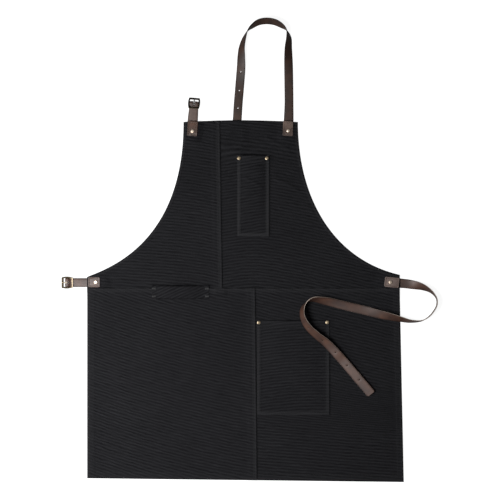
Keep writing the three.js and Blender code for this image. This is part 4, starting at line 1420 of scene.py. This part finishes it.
def prong_line():
    """Side view of the wire: round under the bar, over it, and down to the frame's far end."""
    line = []
    for k in range(RING_STEPS + 1):
        angle = math.radians(mix(RING_FROM, RING_TO, k / RING_STEPS))
        line.append(Vector((RING_RADIUS * math.cos(angle), RING_RADIUS * math.sin(angle))))
    start = line[-1]
    for k in range(1, TONGUE_STEPS + 1):
        t = k / TONGUE_STEPS
        x = mix(start.x, PRONG_LENGTH - 0.3, t)
        line.append(Vector((x, mix(start.y, PRONG_TIP, soft_step(t) * 0.5 + t * 0.5))))
    return line


def buckle_prong(name, root, body, wear_and_highlight):
    line = prong_line()
    last = len(line) - 1
    bm = slab(last, 4)
    round_rim(bm, CRISP_RIM)
    wear_and_light_layer = bm.verts.layers.float.new("wear_and_painted_light")
    for vert in bm.verts:
        vert[wear_and_light_layer] = wear_and_highlight
        i = min(round(vert.co.x * last), last)
        toward_tip = clamp((i - RING_STEPS - 1) / (last - RING_STEPS - 1))
        width = mix(ROOT_WIDTH, TIP_WIDTH, toward_tip) * (1 if i < last else 0.5)
        thick = mix(ROOT_THICK, TIP_THICK, toward_tip) * (1 if i < last else 0.6)
        ahead = (line[min(i + 1, last)] - line[max(i - 1, 0)]).normalized()
        out = (0.5 - vert.co.z) * -thick
        side = (vert.co.y - 0.5) * width * (1 if 0.2 < vert.co.z < 0.8 else 0.86)
        along, up = line[i].x - ahead.y * out, line[i].y + ahead.x * out
        vert.co = from_rivet(root, (REACH + along, side, BAR_HEIGHT + up))
    bmesh.ops.recalc_face_normals(bm, faces=bm.faces)
    smoothed(put_in_place(name, bm, [buckle_brass], [name], body), "Rounded wire", 2)


# The waist prong is painted brighter than the neck prong: painted highlight.
buckle_prong("neck_buckle_prong", roots["neck_left"], "neck_prong", wear_and_highlight=0.02)
buckle_prong("waist_buckle_prong", roots["waist_left"], "waist_prong", wear_and_highlight=0.2)

# Table and light
# A plain white table under the apron, a lamp low on the left, a broad soft panel overhead to the left, and
# a dim white room. The camera looks straight down and takes in a field of 1.11 m.

TABLE_HALF, TABLE_DROP, TABLE_GLOW = 12, 0.0005, 0.92
paper, tree, shader = new_material("White table")
tooth = noise_node(tree, own_place(tree), 300, 3)
link(tree, mix_colours(tree, tooth, (0.23, 0.23, 0.23), (0.25, 0.25, 0.25)), shader.inputs["Base Color"])
shader.inputs["Roughness"].default_value = 0.9
shader.inputs["Specular IOR Level"].default_value = 0.1
shader.inputs["Emission Color"].default_value = (1, 1, 1, 1)
ray = tree.nodes.new("ShaderNodeLightPath")
glow = math_node(tree, "MULTIPLY", ray.outputs["Is Camera Ray"], TABLE_GLOW)
link(tree, glow, shader.inputs["Emission Strength"])
table_bm = bmesh.new()
bmesh.ops.create_grid(table_bm, x_segments=2, y_segments=2, size=TABLE_HALF)
bmesh.ops.translate(table_bm, vec=(0, 0, -TABLE_DROP), verts=table_bm.verts)
table_mesh = bpy.data.meshes.new("table")
table_bm.to_mesh(table_mesh)
table_bm.free()
table_mesh.materials.append(paper)
table = bpy.data.objects.new("table", table_mesh)
bpy.context.scene.collection.objects.link(table)

world = bpy.data.worlds.new("White room")
world.use_nodes = True
room = world.node_tree.nodes["Background"].inputs
room["Color"].default_value = (1, 1, 1, 1)
room["Strength"].default_value = 0.12
bpy.context.scene.world = world


def soft_lamp(name, place, target, size, power):
    light = bpy.data.lights.new(name, "AREA")
    light.shape = "DISK"
    light.size = size
    light.energy = power
    lamp = bpy.data.objects.new(name, light)
    lamp.location = place
    lamp.rotation_euler = (Vector(target) - Vector(place)).to_track_quat("-Z", "Y").to_euler()
    lamp.visible_camera = False
    bpy.context.scene.collection.objects.link(lamp)


soft_lamp("key_lamp", place=(-1.7, -0.36, 0.75), target=(-0.1, -0.22, 0), size=0.5, power=15)
soft_lamp("overhead_panel", place=(-0.72, -0.33, 1.35), target=(-0.17, -0.3, 0), size=0.8, power=37)

camera = bpy.data.cameras.new("camera")
camera.sensor_width = 36
camera.lens = 135
view = bpy.data.objects.new("camera", camera)
view.location = (0.0009, -0.0012, 4.166)
bpy.context.scene.collection.objects.link(view)
bpy.context.scene.camera = view
bpy.context.scene.view_settings.view_transform = "Standard"
